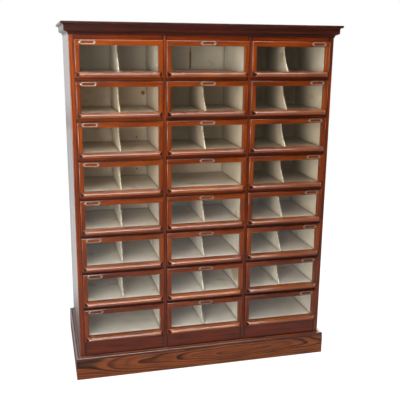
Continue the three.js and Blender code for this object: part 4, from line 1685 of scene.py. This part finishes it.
def make_floor():
    """A wide pale floor that keeps the cabinet's shadow, and glows for gloss near the cabinet and behind it as
    a painted reflection.
    """
    bm = bmesh.new()
    bmesh.ops.create_grid(bm, x_segments=1, y_segments=1, size=FLOOR_REACH)
    mesh = bpy.data.meshes.new("floor")
    bm.to_mesh(mesh)
    bm.free()
    new_object("floor", mesh)
    material, tree, shader = start_material("Pale floor", Roughness=0.9)
    path = wire(tree, "ShaderNodeLightPath").outputs
    seen = seen_directly(tree, path)
    place = wire(tree, "ShaderNodeNewGeometry").outputs["Position"]
    depth = wire(tree, "ShaderNodeSeparateXYZ", {0: place}).outputs[1]
    reach = wire(tree, "ShaderNodeVectorMath", {0: place}, operation="LENGTH").outputs["Value"]
    # For gloss only, the floor glows near the cabinet and behind it: a painted reflection
    behind = ramp(tree, depth, 0.15, 1.0, 0.0, 0.6)
    glossy_glow = maths(tree, "MAXIMUM", ramp(tree, reach, 3.2, 1.8, 0.0, 0.12), behind)
    mirrored = maths(tree, "MULTIPLY", path["Is Glossy Ray"], glossy_glow)
    dull = maths(tree, "MAXIMUM", seen, path["Is Glossy Ray"])
    tree.links.new(blend(tree, dull, FLOOR_GREY, FLOOR_SEEN_GREY), shader.inputs["Base Color"])
    far = maths(tree, "MULTIPLY", mirrored_in_glass(tree, path), ramp(tree, reach, 3.4, 5.0))
    tree.links.new(blend(tree, far, WHITE, PANE_ROOM), shader.inputs["Emission Color"])
    tree.links.new(maths(tree, "MULTIPLY_ADD", seen, 0.955, mirrored), shader.inputs["Emission Strength"])
    mesh.materials.append(material)


def make_lights(chosen):
    """A broad light at the left, two overhead in front, and fill for the left, the back and the right."""
    for key, (size, spot, target, colour) in LAMPS.items():
        lamp = bpy.data.lights.new(f"{key}_light", "AREA")
        lamp.shape = "RECTANGLE"
        lamp.size, lamp.size_y = size
        lamp.energy = getattr(chosen, key)
        lamp.color = colour
        light = new_object(lamp.name, lamp)
        light.location = spot
        light.rotation_euler = (Vector(target) - Vector(spot)).to_track_quat("-Z", "Y").to_euler()


def make_world(chosen):
    """White surroundings for the camera and glass, a dimmer room for gloss, and soft light for the rest."""
    world = bpy.context.scene.world or bpy.data.worlds.new("Studio")
    bpy.context.scene.world = world
    world.use_nodes = True
    tree = world.node_tree
    back = tree.nodes["Background"]
    path = wire(tree, "ShaderNodeLightPath").outputs
    direction = wire(tree, "ShaderNodeTexCoord").outputs["Generated"]
    aside, ahead, above = wire(tree, "ShaderNodeSeparateXYZ", {0: direction}).outputs
    glow = maths(tree, "MULTIPLY", ramp(tree, aside, 0.0, -0.15), ramp(tree, above, -0.15, -0.08))
    glow = maths(tree, "MULTIPLY", glow, ramp(tree, ahead, 0.3, 0.0, 0.72, 1.0))
    room = ramp(tree, ahead, -0.35, 0.15, chosen.room, chosen.backdrop)
    mirrored = maths(tree, "MAXIMUM", room, maths(tree, "MULTIPLY", glow, chosen.glow))
    more = maths(tree, "SUBTRACT", mirrored, chosen.ambient)
    strength = maths(tree, "MULTIPLY_ADD", path["Is Glossy Ray"], more, chosen.ambient)
    seen = seen_directly(tree, path)
    strength = maths(tree, "MULTIPLY_ADD", seen, maths(tree, "SUBTRACT", 1.0, strength), strength)
    colour = blend(tree, mirrored_in_glass(tree, path), WHITE, PANE_ROOM)
    tree.links.new(colour, back.inputs["Color"])
    tree.links.new(strength, back.inputs["Strength"])


def make_camera(chosen):
    """A camera at the photograph's viewpoint."""
    ahead = Vector((
        math.sin(chosen.yaw) * math.cos(chosen.pitch), math.cos(chosen.yaw) * math.cos(chosen.pitch),
        math.sin(chosen.pitch),
    ))
    level = Vector((math.cos(chosen.yaw), -math.sin(chosen.yaw), 0.0))
    down = ahead.cross(level)
    right = math.cos(chosen.roll) * level + math.sin(chosen.roll) * down
    below = math.cos(chosen.roll) * down - math.sin(chosen.roll) * level
    turn = Matrix((right, -below, -ahead)).transposed().to_4x4()
    data = bpy.data.cameras.new("photo_camera")
    data.sensor_width = 36.0
    data.lens = chosen.lens
    data.clip_start = 0.05
    camera = new_object(data.name, data)
    camera.matrix_world = Matrix.Translation(chosen.eye[:]) @ turn
    bpy.context.scene.camera = camera


OPERATORS = (
    CABINET_OT_fronts,
    CABINET_OT_trays,
    CABINET_OT_panes,
    CABINET_OT_label_holders,
    CABINET_OT_case,
    CABINET_OT_mouldings,
    CABINET_OT_stage,
)


class CABINET_PT_panel(bpy.types.Panel):
    """Lists the cabinet's pieces and sizes in the sidebar"""

    bl_idname = "CABINET_PT_panel"
    bl_label = "Haberdashery cabinet"
    bl_space_type = "VIEW_3D"
    bl_region_type = "UI"
    bl_category = "Cabinet"

    def draw(self, context):
        for operator in OPERATORS:
            self.layout.operator(operator.bl_idname)
        chosen = settings(context)
        for part in (chosen.drawer, chosen.holder, chosen.case, chosen.finish, chosen.stage):
            box = self.layout.box()
            for key in part.__annotations__:
                box.prop(part, key)


CLASSES = (
    DrawerSizes, HolderSizes, CaseSizes, Finishes, StageSizes, CabinetSettings, *OPERATORS, CABINET_PT_panel,
)


def register():
    """Registers the classes and the settings."""
    for item in CLASSES:
        bpy.utils.register_class(item)
    bpy.types.Scene.cabinet = PointerProperty(type=CabinetSettings)


def unregister():
    """Removes the settings and the classes."""
    del bpy.types.Scene.cabinet
    for item in reversed(CLASSES):
        bpy.utils.unregister_class(item)


def main():
    """Builds the cabinet and its stage."""
    register()
    for operator in OPERATORS:
        group, action = operator.bl_idname.split(".")
        getattr(getattr(bpy.ops, group), action)()


if __name__ == "__main__":
    main()
